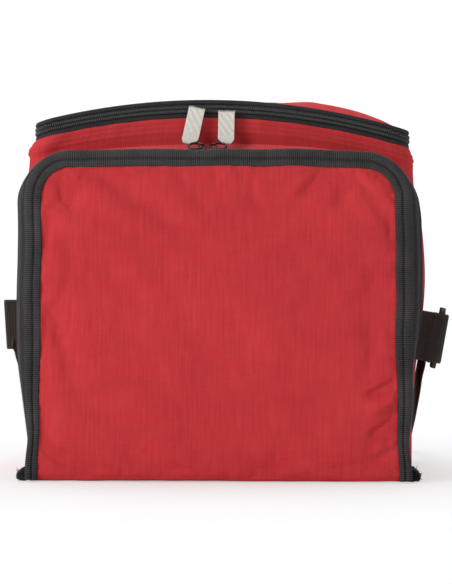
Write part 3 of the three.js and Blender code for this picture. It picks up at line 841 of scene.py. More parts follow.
def panel_edge(x, z, inset=0.0):
    """Distance in from the pocket outline's left, top and right edges."""
    half, top, radius = PANEL_HALF_W - inset, PANEL_TOP - inset, PANEL_R - inset
    over_x, over_z = np.abs(x) - (half - radius), z - (top - radius)
    return np.where((over_x > 0) & (over_z > 0), radius - np.hypot(over_x, over_z),
                    np.minimum(half - np.abs(x), top - z))


# ---------------------------------------------------------------- cloth
def swell(grid, pin, pressure, shrink, frames, cap, bend):
    """Cloth simulation of an open grid with pinned points; every move is held under `cap` mm."""
    rows, columns = grid.shape[:2]
    mesh = bpy.data.meshes.new("sim")
    mesh.from_pydata((grid.reshape(-1, 3) * MM).tolist(), [], quads(rows, columns).tolist())
    obj = bpy.data.objects.new("sim", mesh)
    scene = bpy.context.scene
    scene.collection.objects.link(obj)
    group = obj.vertex_groups.new(name="pin")
    for i, weight in enumerate(pin.ravel()):
        if weight > 0.001:
            group.add([i], float(weight), "REPLACE")
    cloth = obj.modifiers.new("Cloth", "CLOTH")
    settings = cloth.settings
    settings.quality = 6
    settings.mass = 0.25
    settings.tension_stiffness = settings.compression_stiffness = 8.0
    settings.shear_stiffness = 8.0 * 0.6
    settings.bending_stiffness = bend
    settings.air_damping = 2.0
    settings.vertex_group_mass = "pin"
    settings.shrink_min = settings.shrink_max = shrink
    settings.use_pressure = True
    settings.uniform_pressure_force = pressure
    settings.effector_weights.gravity = 0
    cloth.collision_settings.use_collision = False
    cloth.collision_settings.use_self_collision = False
    cloth.point_cache.frame_start, cloth.point_cache.frame_end = 1, frames
    scene.frame_start, scene.frame_end = 1, frames
    for i in range(1, frames + 1):
        scene.frame_set(i)
    result = obj.evaluated_get(bpy.context.evaluated_depsgraph_get())
    coords = np.zeros(len(result.data.vertices) * 3)
    result.data.vertices.foreach_get("co", coords)
    bpy.data.objects.remove(obj)
    bpy.data.meshes.remove(mesh)
    scene.frame_set(1)
    move = np.nan_to_num(coords.reshape(rows, columns, 3) * 1000.0 - grid)
    size = np.linalg.norm(move, axis=-1, keepdims=True)
    return grid + move * np.where(size > 1e-6,
                                  cap * np.tanh(size / cap) / np.maximum(size, 1e-6), 1)


def refine(grid):
    """The grid with twice as many steps each way, smoothly interpolated."""
    def along(rows):
        count = rows.shape[0]
        at = np.linspace(0, count - 1, (count - 1) * 2 + 1)
        i = np.clip(np.floor(at).astype(int), 0, count - 2)
        part = (at - i)[:, None, None]
        before, here = rows[np.maximum(i - 1, 0)], rows[i]
        after, beyond = rows[i + 1], rows[np.minimum(i + 2, count - 1)]
        return 0.5 * ((2 * here) + (-before + after) * part
                      + (2 * before - 5 * here + 4 * after - beyond) * part ** 2
                      + (-before + 3 * here - 3 * after + beyond) * part ** 3)
    return np.swapaxes(along(np.swapaxes(along(grid), 0, 1)), 0, 1)


# ---------------------------------------------------------------- main compartment: outside
WALL_ALONG = np.linspace(0, OUTLINE_L, 280, endpoint=False)
WALL_Z = np.concatenate([np.linspace(1.6, 14, 9)[:-1], np.linspace(14, 238, 66)[:-1],
                         np.linspace(238, 266, 24)])


def wall_relief():
    """How far the wall's cloth stands out from the outline, for each height and place along."""
    along, z = WALL_ALONG, WALL_Z[:, None]
    flat, _ = outline(along)
    x, y = flat[:, 0], flat[:, 1]
    left = x < 0
    bare = rim_point(along[None], 0.0, z)
    unevenness = noise_at(bare, 48, 3.3)
    # long soft folds: noise stretched over the height so that creases lean towards the base
    leaning = bare.copy()
    leaning[..., 2] = leaning[..., 2] * 0.45 + leaning[..., 1] * 0.35
    folds = noise_at(leaning, 24, 9.1)
    relief = smooth(8, 40, z) * fade(222, 250, z) * (
        0.9 + 1.3 * unevenness + 0.75 * np.sign(folds) * np.abs(folds) ** 1.2)
    # slack gathers just above the base seam
    relief += fade(8, 46, z) * smooth(3, 9, z) * 0.35 * waver(along, 5.1, 1.7, 23.0)
    relief -= 0.75 * hump(z, 5.2, 1.5)
    # the two rear corner seams, with the cloth raised either side
    for seam in REAR_SEAMS:
        relief -= 0.8 * hump(along, seam, 1.4) * smooth(6, 14, z)
        relief += 0.35 * hump(np.abs(along - seam), 4.2, 1.6) * smooth(6, 14, z)
    # the turned hem under the zip, pressed in along its stitch rows
    zipped = smooth(ZIP_START - 8, ZIP_START, along) * fade(ZIP_END, ZIP_END + 8, along)
    relief += 0.95 * smooth(252.6, 254.2, z) * zipped * fade(263.0, 264.5, z)
    relief -= 0.60 * (hump(z, HEM_ROWS[0], 0.8) + hump(z, HEM_ROWS[1], 0.8)) * zipped
    # the two sides: fuller at the hem, hollow lower down
    flank = smooth(112, 134, np.abs(x))
    relief += np.where(left, 3.6, 1.3) * flank * hump(z, 257.5, 5.5) * fade(261.8, 264.2, z)
    relief -= 2.3 * flank * hump(z, 66.0, 40.0)
    relief -= np.where(left, 1.4, 2.4) * flank * hump(z, 236.0, 13.0)
    relief -= np.where(left, 1.6, 0.0) * flank * hump(z, 150.0, 60.0)
    # the front of the hem stands clear of the pocket's top, with a hollow below it
    relief -= 1.2 * (y < -60) * hump(z, 246.0, 4.0)
    relief += (0.40 * zipped * smooth(250, 262, z) * waver(along, 4.3, 1.2, 17.0)
               * fade(262, 265, z))
    relief = np.maximum(relief, -1.2)
    behind_pocket = (y < -66) & (z < 236)
    return np.where(behind_pocket, np.minimum(relief, 0.25), relief)


WALL_RELIEF = wall_relief()


def bag_wall():
    grid = rim_point(WALL_ALONG[None], WALL_RELIEF, WALL_Z[:, None])
    uv = stack(WALL_ALONG[None], WALL_Z[:, None])
    # rows run from the top down so that the outside faces out
    sheet("bag_wall_fabric", grid[::-1], 1.1, RED, uv[::-1], close_u=True, period=OUTLINE_L,
          body="bag", node="outer_wall_fabric")


def on_wall(along, z, extra):
    """Points `extra` off the wall's outside, and its normals."""
    along, z = np.broadcast_arrays(along, z)
    count = len(WALL_ALONG)
    column = np.interp(np.mod(along, OUTLINE_L), np.append(WALL_ALONG, OUTLINE_L),
                       np.arange(count + 1))
    row = np.interp(z, WALL_Z, np.arange(len(WALL_Z)))
    first = np.floor(column).astype(int)
    low = np.minimum(np.floor(row).astype(int), len(WALL_Z) - 2)
    part, rise = column - first, row - low
    first %= count
    second = (first + 1) % count
    lower, upper = (WALL_RELIEF[i, first] * (1 - part) + WALL_RELIEF[i, second] * part
                    for i in (low, low + 1))
    out = lower * (1 - rise) + upper * rise + extra
    points = rim_point(along, out, z)
    return points, unit(rim_point(along, out + 1.0, z) - points)


def wall_stitches():
    along = np.arange(ZIP_START + 2, ZIP_END - 2, 1.2)
    for k, z in enumerate(HEM_ROWS):
        stitches(f"hem_stitch_row_{k + 1}", *on_wall(along, z, 0.12), "bag", length=2.2,
                 radius=0.30, proud=0.14)
    heights = np.arange(14, 250, 1.2)
    for k, (seam, shift) in enumerate(zip(REAR_SEAMS, (-2.9, 2.9))):
        stitches(f"corner_stitch_row_{k + 1}", *on_wall(seam + shift, heights, 0.1), "bag")
    stitches("base_stitch_row", *on_wall(np.arange(0, OUTLINE_L, 1.2), 9.4, 0.1), "bag")


def bag_base():
    x, y = plate_grid(0.0, 90, 46)
    edge = plate_edge(x, y, 0.0)
    uneven = np.clip(0.35 + 0.5 * noise_at(stack(x, y, 0), 30, 5.0), 0, 0.8)
    z = 0.10 + 0.35 * fade(0, 9, edge) + smooth(6, 20, edge) * uneven
    sheet("bag_base_fabric", stack(x, y, z)[::-1], 1.0, RED, stack(x, y)[::-1], body="bag",
          node="base_fabric")


# ---------------------------------------------------------------- lid
def lid_top():
    inset = 0.35
    x, y = plate_grid(inset, 100, 54)
    pin = fade(0.5, 7, plate_edge(x, y, inset))
    pin = np.where(pin > 0.6, 1.0, pin * 0.4)
    grid = soften(stack(x, y, LID_TOP_Z), LID_CROWN)
    grid = refine(swell(grid, pin, pressure=0.5, shrink=-0.004, frames=14, cap=1.1, bend=1.2))
    uv = refine(stack(x, y))
    x, y = uv[..., 0], uv[..., 1]
    edge = plate_edge(x, y, inset)
    # the edge rolls down to the zip tape; set in from it are a seam line and soft puckers
    lift = grid[..., 2]
    lift -= 1.1 * fade(0, 2.6, edge) ** 2
    lift -= 0.45 * hump(edge, 5.0, 0.9)
    lift += 0.30 * hump(edge, 9.5, 4.0) * np.sin((x + y * 0.9) / 4.6 + 1.3 * np.sin(x / 21.0))
    uneven = noise_at(stack(x, y * 1.6, 0), 34, 2.2)
    lift += smooth(6, 22, edge) * np.clip(0.5 + uneven, 0, 1.6) * 0.45
    depth = np.clip(y / HALF_D, -1, 1)
    lift += (4.6 * hump(x, 84, 46.0) * np.power(np.maximum(0, 1 - depth * depth), 0.45)
             * smooth(1.5, 16, edge))
    sheet("lid_top_fabric", grid, 1.0, RED, uv, body="lid", node="lid_outer_fabric")
    # a topstitch row along the seam line, laid on the nearest points of the cloth
    row, _ = outline(np.arange(0, OUTLINE_L, 1.2), -5.35)
    plan, top = uv.reshape(-1, 2), grid.reshape(-1, 3)
    points = np.array([top[((plan - point) ** 2).sum(1).argmin()] for point in row])
    stitches("lid_stitch_row", relax_closed(points, 3), (0, 0, 1.0), "lid", proud=0.16)


def lid_padding():
    x, y = plate_grid(0.9, 80, 44)
    z = 274.2 + 0.12 * noise_at(stack(x, y, 0), 12, 7.0)
    sheet("lid_padding", soften(stack(x, y, z), LID_CROWN), 3.2, FOAM, stack(x, y), body="lid",
          node="lid_foam")


def lid_lining():
    x, y = plate_grid(0.7, 130, 70)
    flat = stack(x, y, 0)
    crinkle = noise_at(flat, 17, 4.0) + 0.6 * noise_at(flat, 7, 14.0)
    z = 269.35 + 0.45 * np.abs(crinkle) * smooth(1, 12, plate_edge(x, y, 0.7))
    grid = soften(stack(x, y, z), LID_CROWN)
    sheet("lid_silver_lining", grid[::-1], 0.5, LINER, stack(x, y)[::-1], body="lid",
          node="lid_liner")


# ---------------------------------------------------------------- inside of the compartment
def liner():
    """A crinkled film tub: rings down the walls, then rings closing over the floor."""
    columns = 260
    along = np.linspace(0, OUTLINE_L, columns, endpoint=False)
    x, y = split(outline(along, -7.3)[0])
    levels = np.concatenate([np.linspace(265.8, 16, 76), [13.6, 12.0, 11.0, 10.5]])[:, None]
    tuck = fade(10.3, 15, levels)
    walls = stack(x * (1 - 0.035 * tuck), y * (1 - 0.06 * tuck), levels)
    shares = np.array([0.90, 0.82, 0.74, 0.66, 0.58, 0.5, 0.42, 0.34, 0.26, 0.18, 0.1,
                       0.05])[:, None]
    inside = soften(np.concatenate([walls, stack(x * shares, y * shares, 10.2)]))
    level = inside[..., 2].copy()

    crinkle = (0.9 * noise_at(inside * np.array([1, 1, 0.55]), 22, 6.0)
               + 0.7 * np.abs(noise_at(inside, 9, 16.0)))
    crinkle = np.clip(crinkle, -0.1, 1.6)
    amount = smooth(11, 30, level) * fade(246, 258, level) * crinkle * (level > 11.5)
    plan = inside[..., :2]
    nearness = (np.abs(plan) / np.array([HALF_W, HALF_D])) ** 6
    inside[..., :2] = plan - np.sign(plan) * nearness * amount[..., None] * 1.4
    inside[..., 2] += np.where(level < 11.5, np.clip(crinkle, 0, 1) * 0.8, 0)

    # the film's other side, a little outside and below
    normals = grid_normals(inside, close_u=True)
    radial = stack(inside[10, :, 0], inside[10, :, 1], 0)
    sign = np.sign(np.mean(np.sum(normals[10] * radial, -1)))
    outside = inside + sign * normals * 0.45
    rows = len(inside)
    count = rows * columns
    skin = quads(rows, columns, close_u=True)
    faces = skin.tolist() + (skin[:, ::-1] + count).tolist()
    for i in range(columns):
        j = (i + 1) % columns
        faces.append((i, j, j + count, i + count))
    end = list(range(count - columns, count))
    faces += [end, [i + count for i in reversed(end)]]
    uv = stack(along[None], level)
    floor = level < 12
    uv[floor] = inside[floor][:, :2]
    verts = np.concatenate([inside.reshape(-1, 3), outside.reshape(-1, 3)])
    make("liner_silver_film", (verts, faces, np.concatenate([uv.reshape(-1, 2)] * 2)), LINER,
         body="bag", node="liner_tub", period=OUTLINE_L)


def rim_loft(along, section, relief=0.0, closed=False):
    """A section of (out, z) points carried round the compartment's outline."""
    moved = section + relief
    points = rim_point(along[:, None], moved[..., 0], moved[..., 1])
    return loft(points, stack(along[:, None], run_lengths(section)), close_v=closed)


BINDING_SECTION = np.array([  # out, z
    (-7.5, 266.2), (-7.7, 266.9), (-7.2, 267.7), (-5.8, 268.15), (-3.8, 268.25), (-2.0, 268.15),
    (-0.7, 267.75), (-0.25, 267.0), (-0.4, 266.2), (-3.9, 265.95)])


def rim_binding():
    along = np.linspace(0, OUTLINE_L, 2200, endpoint=False)
    ribs = 0.13 * np.abs(np.sin(PI * along / 1.3))[:, None, None]
    relief = unit(BINDING_SECTION - BINDING_SECTION.mean(0)) * ribs
    make("rim_binding_tape", rim_loft(along, BINDING_SECTION, relief, closed=True), BLACK_BIND,
         node="rim_binding", period=OUTLINE_L)


# ---------------------------------------------------------------- lid zip
LID_TAPES = {  # out, z
    "lower": [(0.3, 263.9), (1.2, 263.75), (1.75, 264.1), (1.9, 265.2), (1.75, 266.6),
              (1.35, 267.35), (0.5, 267.4)],
    "upper": [(0.2, 273.7), (1.2, 273.7), (1.75, 274.2), (2.0, 275.2), (1.85, 276.3),
              (1.2, 277.0), (0.2, 277.15), (-0.9, 276.9), (-0.9, 276.5)],
}


def coil_half(name, node, base, turns, radii):
    """One half of a coil zip: its woven base and every turn of the coil."""
    parts = [base] + [tube(turn, np.array(radii), 6) for turn in turns]
    make(name, join(parts), COIL, node=node, outward=False)


def lid_teeth(which, low, high, phase):
    height = high - low
    section = np.array([(0.35, low + 0.1), (0.95, low + 0.05), (1.15, low + height / 2),
                        (0.95, high - 0.05), (0.35, high - 0.1)])
    base = rim_loft(np.linspace(ZIP_START, ZIP_END, 520), section)
    part = np.linspace(0, 1, 6)
    z = low + 0.05 + part * (height - 0.1)
    out = 1.15 + 0.85 * np.sin(PI * np.clip(part * 0.9 + 0.05, 0, 1)) ** 0.45
    starts = np.arange(ZIP_START + 1.0 + phase * TOOTH, ZIP_END - 1.0, TOOTH)
    turns = [rim_point(start + 0.28 * (part - 0.5), out, z) for start in starts]
    coil_half(f"lid_zip_teeth_{which}", f"lid_zip_coil_{which}", base, turns,
              [0.38, 0.44, 0.46, 0.46, 0.44, 0.38])


def lid_zip():
    along = np.linspace(ZIP_START, ZIP_END, 520)
    for which, section in LID_TAPES.items():
        make(f"lid_zip_tape_{which}_woven", rim_loft(along, np.array(section)), BLACK_TAPE,
             node=f"lid_zip_tape_{which}")
    lid_teeth("lower", 267.65, 270.35, phase=0.0)
    lid_teeth("upper", 270.6, 273.35, phase=0.5)
    # black thread rows that sew the zip's tapes down
    along = np.arange(ZIP_START + 2, ZIP_END - 2, 1.0)
    for which, z, out in (("lower", 265.1, 1.92), ("upper", 275.2, 2.02)):
        _, normal = outline(along)
        stitches(f"lid_zip_thread_{which}", rim_point(along, out, z),
                 stack(normal[:, 0], normal[:, 1], 0), BODY[f"lid_zip_tape_{which}"],
                 THREAD_BLACK, length=2.0, gap=0.8, radius=0.2, proud=0.08)


def lid_zip_end(side, which):
    """A tab over one end of the zip, on the back, sewn down along three sides."""
    x_values, z_values = np.linspace(106.0, 118.8, 22), np.linspace(263.2, 277.2, 24)
    x, z = np.meshgrid(x_values, z_values)
    edge = np.minimum(np.minimum(x - x_values[0], x_values[-1] - x),
                      np.minimum(z - z_values[0], z_values[-1] - z))
    out = 1.3 + 0.85 * smooth(0, 1.8, edge) + 0.12 * np.sin(z * 2 * PI / 1.6)
    grid = soften(stack(side * x, HALF_D + out, z))
    uv = stack(z, x)
    if side > 0:
        grid, uv = grid[:, ::-1], uv[:, ::-1]
    node = f"lid_zip_end_{which}"
    sheet(f"{node}_tab", grid, 0.7, BLACK_RIB, uv, node=node)
    climb = np.linspace(264.8, 275.4, 10)
    row_x = np.repeat([108.0, 116.6], 10)
    row = soften(stack(side * row_x, HALF_D + 2.25, np.append(climb, climb[::-1])))
    stitches(f"{node}_stitches", row, (0, 1.0, 0), BODY[node], THREAD_BLACK, length=1.5,
             gap=0.6, radius=0.2, proud=0.1)


# ---------------------------------------------------------------- lid hinge at the rear
HINGE_PATH = [  # y, z: up the back and over the lid's rear edge
    (71.0, 249.5), (71.35, 251), (71.5, 254), (71.55, 258), (71.6, 262), (71.6, 266),
    (71.55, 270), (71.5, 273), (71.35, 275.4), (70.6, 277.0), (69.0, 277.9), (66.6, 278.1),
    (64.6, 278.0), (64.0, 277.6)]


def hinge():
    path = resample(HINGE_PATH, np.arange(len(HINGE_PATH)), 56, rounds=2)
    y, z = path[:, :1], path[:, 1:]
    taper = 1 - 0.012 * np.linspace(0, 1, len(path))[:, None] ** 6
    x = np.linspace(-106.5, 106.5, 120) * taper
    grid = soften(stack(x, y, z))
    grid[..., 2] += crown_lift(x, y, LID_CROWN)
    uneven = noise_at(grid, 14, 3.0)
    grid[..., 1] += 0.35 * uneven * smooth(250, 254, z) * fade(268, 274, z)
    uv = stack(x, run_lengths(path)[:, None])
    obj = sheet("lid_hinge_fabric", grid[:, ::-1], 0.9, RED, uv[:, ::-1],
                node="lid_hinge_strip", rides=False)
    start_z, end_z = (float(soften(np.array([0, HINGE_Y, level]))[2]) for level in (258.0, 271.5))
    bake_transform(obj)
    # stitches along both sewn edges
    x = np.arange(-104, 104, 1.2)
    stitches("lid_hinge_stitches_lower", soften(stack(x, 71.75, 252.3)), (0, 1.0, 0), "bag",
             proud=0.14)
    upper = soften(stack(x, 66.4, 278.2))
    upper[:, 2] += crown_lift(x, 66.4, LID_CROWN)
    stitches("lid_hinge_stitches_upper", upper, (0, 0, 1.0), "lid", proud=0.14)


# ---------------------------------------------------------------- front pocket
def arch_loft(along, section, bottom, relief=0.0):
    """A section of (out, y) points carried round the pocket's outline."""
    moved = section + relief
    points = bulged_point(along[:, None], moved[..., 0], moved[..., 1], bottom)
    return loft(points, stack(along[:, None], run_lengths(section)))


EDGING_SECTION = np.array([  # out, y: two padded rolls with a groove between
    (-11.0, -98.0), (-11.3, -98.7), (-11.0, -99.35), (-10.1, -99.75), (-8.9, -99.95),
    (-7.8, -99.95), (-6.8, -99.7), (-6.1, -99.15), (-5.6, -98.25), (-5.1, -99.15),
    (-4.4, -99.7), (-3.4, -99.95), (-2.0, -99.95), (-0.9, -99.8), (0.0, -99.35), (0.6, -98.6),
    (0.8, -97.4), (0.7, -96.0), (0.65, -94.7), (0.4, -93.6), (-0.5, -93.6), (-0.6, -95.6),
    (-0.7, -97.9), (-3.4, -98.1), (-7.5, -98.1)])
EDGING_RIB_WAYS = np.array(  # the way, in (out, y), that the ribs raise each point above
    [(0, 0), (-0.4, -0.4), (-0.2, -0.9)] + [(0, -1)] * 4 + [(0, -0.5), (0, -0.1), (0, -0.5)]
    + [(0, -1)] * 4 + [(0.4, -0.8), (0.8, -0.4), (1, 0), (1, 0), (1, 0), (0.5, 0)]
    + [(0, 0)] * 5)
EDGING_RIB = 1.7


def edging_sway(along):
    return 0.28 * waver(along, 9.3, 1.1, 31.0)


def edging():
    length = arch_length(EDGING_Z)
    along = np.linspace(0, length, int(length / EDGING_RIB * 5))
    ribs = 0.40 * np.abs(np.sin(PI * along / EDGING_RIB)) ** 0.8
    relief = EDGING_RIB_WAYS * ribs[:, None, None]
    relief[..., 0] += edging_sway(along)[:, None]
    node = "pocket_edging"
    make("pocket_ribbed_edging", arch_loft(along, EDGING_SECTION, EDGING_Z, relief), BLACK_RIB,
         node=node)
    along = np.arange(2, length - 2, 1.0)
    for k, (out, y) in enumerate(((-10.2, -99.95), (-5.6, -98.6))):
        stitches(f"edging_stitch_row_{k + 1}",
                 pocket_point(along, out + edging_sway(along), y, EDGING_Z), (0, -1.0, 0),
                 BODY[node], THREAD_BLACK, length=2.2, radius=0.24)


CREASES = [  # start x, z; end x, z; width; height (below 0 for a valley)
    (129, 73, 106, 62, 3.6, -1.0), (129, 60, 108, 53, 5.0, 0.8),
    (129, 44, 108, 34, 3.6, -1.0), (129, 30, 112, 24, 4.0, 0.6),
    (84, 226, 60, 208, 4.6, -0.9), (97, 224, 86, 200, 5.0, -0.6),
    (74, 227, 48, 204, 6.0, 0.6), (-90, 222, -20, 182, 8.0, -0.7),
    (-96, 212, -40, 176, 9.0, 0.7), (-115, 220, -104, 196, 4.5, -0.6),
    (-30, 224, -10, 196, 7.0, -0.5), (16, 226, 30, 196, 6.0, -0.55),
    (-127, 26, -104, 18, 4.5, -0.5), (-60, 12, -20, 17, 6.0, 0.4),
    (30, 14, 80, 20, 6.0, -0.45), (-127, 120, -112, 100, 6.0, -0.4),
    (120, 160, 96, 120, 9.0, -0.5), (60, 90, 20, 40, 14.0, -0.6),
    (-70, 80, -96, 30, 12.0, -0.5)]


def crease(x, z, x_start, z_start, x_end, z_end, width, height):
    """A soft ridge or valley along a segment, fading at its ends; narrow ones are sharper."""
    run, rise = x_end - x_start, z_end - z_start
    part = ((x - x_start) * run + (z - z_start) * rise) / (run * run + rise * rise)
    away = np.hypot(x - (x_start + part * run), z - (z_start + part * rise))
    ends = smooth(-0.25, 0.25, part) * fade(0.75, 1.25, part)
    return height * (1.9 if width < 5.5 else 1.0) * hump(away, 0, width) * ends


def panel():
    x, z = panel_grid(1.2, 3.0, 78, 68)
    pin = np.where((panel_edge(x, z) - EDGING_W < 0.2) | (z < 6.5), 1.0, 0.0)
    grid = swell(stack(x, -98.0, z), pin, pressure=0.9, shrink=-0.010, frames=20, cap=2.6,
                 bend=2.5)
    grid = refine(refine(grid))
    uv = refine(refine(stack(x, z)))
    x, z = uv[..., 0], uv[..., 1]
    inside = panel_edge(x, z) - EDGING_W
    creases = sum(crease(x, z, *entry) for entry in CREASES)
    uneven = noise_at(stack(x, z * 0.7, 0), 52, 1.3)
    slanting = noise_at(stack(x * 0.8 + z * 0.6, (z * 0.8 - x * 0.6) * 0.32, 0), 19, 11.0)
    free = smooth(0.0, 16, inside) * smooth(6, 26, z)
    front = grid[..., 1] - (smooth(-0.5, 5, inside) * creases * 2.3
                            + free * (0.9 + 1.2 * uneven + 1.25 * slanting))
    # the fabric gathers slightly where it is sewn under the edging
    pucker = np.where(np.abs(x) > 100, waver(z, 3.1, 1.5, 14), waver(x, 3.3, 1.4, 17))
    front -= 0.16 * pucker * hump(inside, 3, 4.0)
    front = np.where(inside < -1.0, -97.75, np.minimum(front, -97.9))
    # the lower edge turns under
    low = fade(3.0, 8.0, z)
    grid[..., 1] = front + 1.6 * low ** 2
    grid = pocket_map(grid)
    grid[..., 2] -= 1.6 * low * fade(124, 137, np.abs(x))
    sheet("pocket_panel_cloth", grid, 0.9, RED, uv, node="pocket_panel_fabric")


def panel_padding():
    inset, bottom = 2.0, 6.0
    x, z = panel_grid(inset, bottom, 80, 68)
    edge = np.minimum(panel_edge(x, z, inset), z - bottom)
    y = -96.5 - 0.1 * noise_at(stack(x, z, 0), 10, 8.0) + 0.7 * fade(0, 2, edge)
    sheet("pocket_panel_pad", pocket_map(stack(x, y, z)), 2.7, FOAM, stack(x, z),
          node="pocket_panel_padding")


POCKET_TAPES = {  # out from the zip's line, y
    "front": [(-1.0, -93.3), (0.1, -93.3), (0.45, -92.0), (0.5, -90.0), (0.35, -88.0),
              (0.0, -87.45), (-1.0, -87.45)],
    "rear": [(-1.0, -84.05), (0.0, -84.05), (0.35, -83.4), (0.5, -81.5), (0.45, -79.5),
             (0.1, -77.7), (-1.0, -77.7)],
}


def zip_loft(section):
    along = np.linspace(0, arch_length(ZIP_Z), 620)
    return arch_loft(along, np.array(section) - np.array([ZIP_IN, 0]), ZIP_Z)


def pocket_teeth(which, front, rear, phase):
    base = zip_loft([(-1.2, front + 0.05), (-0.2, front + 0.02), (0.05, (front + rear) / 2),
                     (-0.2, rear - 0.02), (-1.2, rear - 0.05)])
    part = np.linspace(0, 1, 5)
    y = front + 0.12 + part * (rear - front - 0.24)
    out = -0.15 - ZIP_IN + 0.75 * np.sin(PI * (0.08 + 0.84 * part)) ** 0.7
    starts = np.arange(1.0 + phase * TOOTH, arch_length(ZIP_Z) - 1.0, TOOTH)
    turns = [bulged_point(start + 0.2 * (part - 0.5), out, y, ZIP_Z) for start in starts]
    coil_half(f"pocket_zip_teeth_{which}", f"pocket_zip_coil_{which}", base, turns,
              [0.36, 0.5, 0.55, 0.5, 0.36])


def pocket_zip():
    for which, section in POCKET_TAPES.items():
        make(f"pocket_zip_tape_{which}_woven", zip_loft(section), BLACK_TAPE,
             node=f"pocket_zip_tape_{which}")
    pocket_teeth("front", -87.3, -85.75, phase=0.0)
    pocket_teeth("rear", -85.7, -84.15, phase=0.5)


def gusset_meets(x, z):
    """The y at which the pocket's side wall, running back from its zip, meets the compartment."""
    y = np.arange(-76.0, -55.0, 0.2)
    spread = splay(stack(x[:, None], y, z[:, None]))
    belly = (SIDE_BULGE / HALF_W) * fullness(z)[:, None] * (1 - 0.3 * (y / HALF_D) ** 2)
    box_x = np.abs(spread[..., 0]) / (1 + belly)
    bow = FRONT_BOW * smooth(140, 262, z) * (1 - np.minimum(1, np.abs(x) / HALF_W) ** 2)
    box_y = np.abs(y + bow[:, None])
    over_x, over_y = box_x - STRAIGHT_X, box_y - STRAIGHT_Y
    depth = np.where((over_x > 0) & (over_y > 0), CORNER_R - np.hypot(over_x, over_y),
                     np.minimum(HALF_W - box_x, HALF_D - box_y))
    inside = depth > 0.1
    return y[np.where(inside.any(1), inside.argmax(1), len(y) - 1)]


def gusset():
    """The fabric wall between the pocket's zip and the compartment."""
    front = -77.9
    length = arch_length(GUSSET_Z)
    along = np.linspace(0, length, 300)
    flat, normal = arch(along, -0.25 - ZIP_IN, GUSSET_Z)
    rear = relax(gusset_meets(flat[:, 0], flat[:, 1]), 6)[:, None]
    x, z, x_normal, z_normal = flat[:, :1], flat[:, 1:], normal[:, :1], normal[:, 1:]
    part = np.linspace(0, 1, 22)
    y = front + part * (rear - front)
    middle = np.sin(PI * part)
    bulge = (middle ** 0.8 * np.where(x > 0, 1.3 * hump(z, 140, 40.0), 0.0)
             * (1 - np.abs(z_normal)) + zip_bulge(x_normal, y, z))
    rise = (7.6 * np.clip(1 - (x / 122.0) ** 2, 0, 1) * smooth(-0.1, 0.95, part)
            * np.maximum(z_normal, 0))
    out = bulge + rise + 0.25 * waver(along, 4.7, 1.3, 19.0)[:, None] * middle
    grid = pocket_map(stack(x + x_normal * out, y, z + z_normal * out))
    uv = stack(along[:, None], y)
    node = "pocket_gusset"
    # the gusset takes the paler red copy, which is painted light for the top light on its upper
    # strip
    sheet("pocket_gusset_fabric", grid[:, ::-1], 0.9, RED_PAINTED_TOPLIT, uv[:, ::-1], node=node)

    row_y, row_out = -76.4, 0.35 - ZIP_IN
    along = np.arange(4, length - 4, 1.2)
    flat, normal = arch(along, row_out, GUSSET_Z)
    x_normal, z_normal = normal[:, 0], normal[:, 1]
    crown = 1.2 * np.clip(1 - (flat[:, 0] / 122.0) ** 2, 0, 1) * np.maximum(z_normal, 0)
    out = row_out + zip_bulge(x_normal, row_y, flat[:, 1]) + crown
    stitches("gusset_stitch_row", pocket_point(along, out, row_y, GUSSET_Z),
             stack(x_normal, 0, z_normal), BODY[node], proud=0.16)


FLOOR_PATH = [  # y, z: forward from the bag's base, then up behind the panel's lower edge
    (-69.0, 0.9), (-76, 0.7), (-84, 0.6), (-90, 0.6), (-93.5, 0.7), (-95.6, 1.2), (-96.6, 2.4),
    (-96.9, 4.2), (-96.9, 6.5)]


def pocket_floor():
    path = resample(FLOOR_PATH, np.arange(len(FLOOR_PATH)), 50, rounds=3)
    y, z = path[:, 0], path[:, 1]
    x = np.linspace(-136.5, 136.5, 130)[:, None]
    uneven = np.clip(noise_at(stack(x, y, z), 16, 5.5), -0.6, 1)
    grid = stack(x, y, z + 0.35 * uneven * fade(3, 5, z))
    obj = sheet("pocket_floor_fabric", grid, 0.5, RED, stack(x, run_lengths(path)),
                node="pocket_floor", rides=False)
    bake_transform(obj)


# ------------------------------------------- bunched zip ends at the pocket's lower corners
BUNCH_X = 142.0
BUNCH_PROFILE = np.array([  # out from BUNCH_X, z
    (-5.6, 1.2), (-1, 0.5), (2.4, 0.8), (4.0, 2.3), (4.3, 4.2), (2.9, 6.4), (0.6, 8.2),
    (-3.0, 10.2), (-5.4, 8.8), (-6.0, 5.0)])


def frayed_threads(side, centre, seed):
    random = np.random.RandomState(seed)
    parts = []
    for _ in range(34):
        angle = random.uniform(0, 2 * PI)
        root = centre + np.array([math.cos(angle) * 4.2, math.sin(angle) * 3.9])
        y = random.uniform(-94.4, -89)
        length = random.uniform(2.0, 5.0)
        way = unit(np.array([math.cos(angle + random.uniform(-1.4, 1.4)),
                             -random.uniform(0.0, 0.6),
                             math.sin(angle + random.uniform(-1.4, 1.4))]))
        part = np.linspace(0, 1, 7)[:, None]
        start = np.array([side * (BUNCH_X + root[0]), y, root[1]])
        bend = np.array([0, random.uniform(-1, 0.3), random.uniform(-1.5, 1.0)])
        path = (start + part * way * np.array([side, 1, 1]) * length * 0.55
                + (part ** 2) * bend)
        path[:, 2] = np.maximum(path[:, 2], 0.3)
        parts.append(tube(path, np.linspace(0.26, 0.15, 7), 5))
    return join(parts)


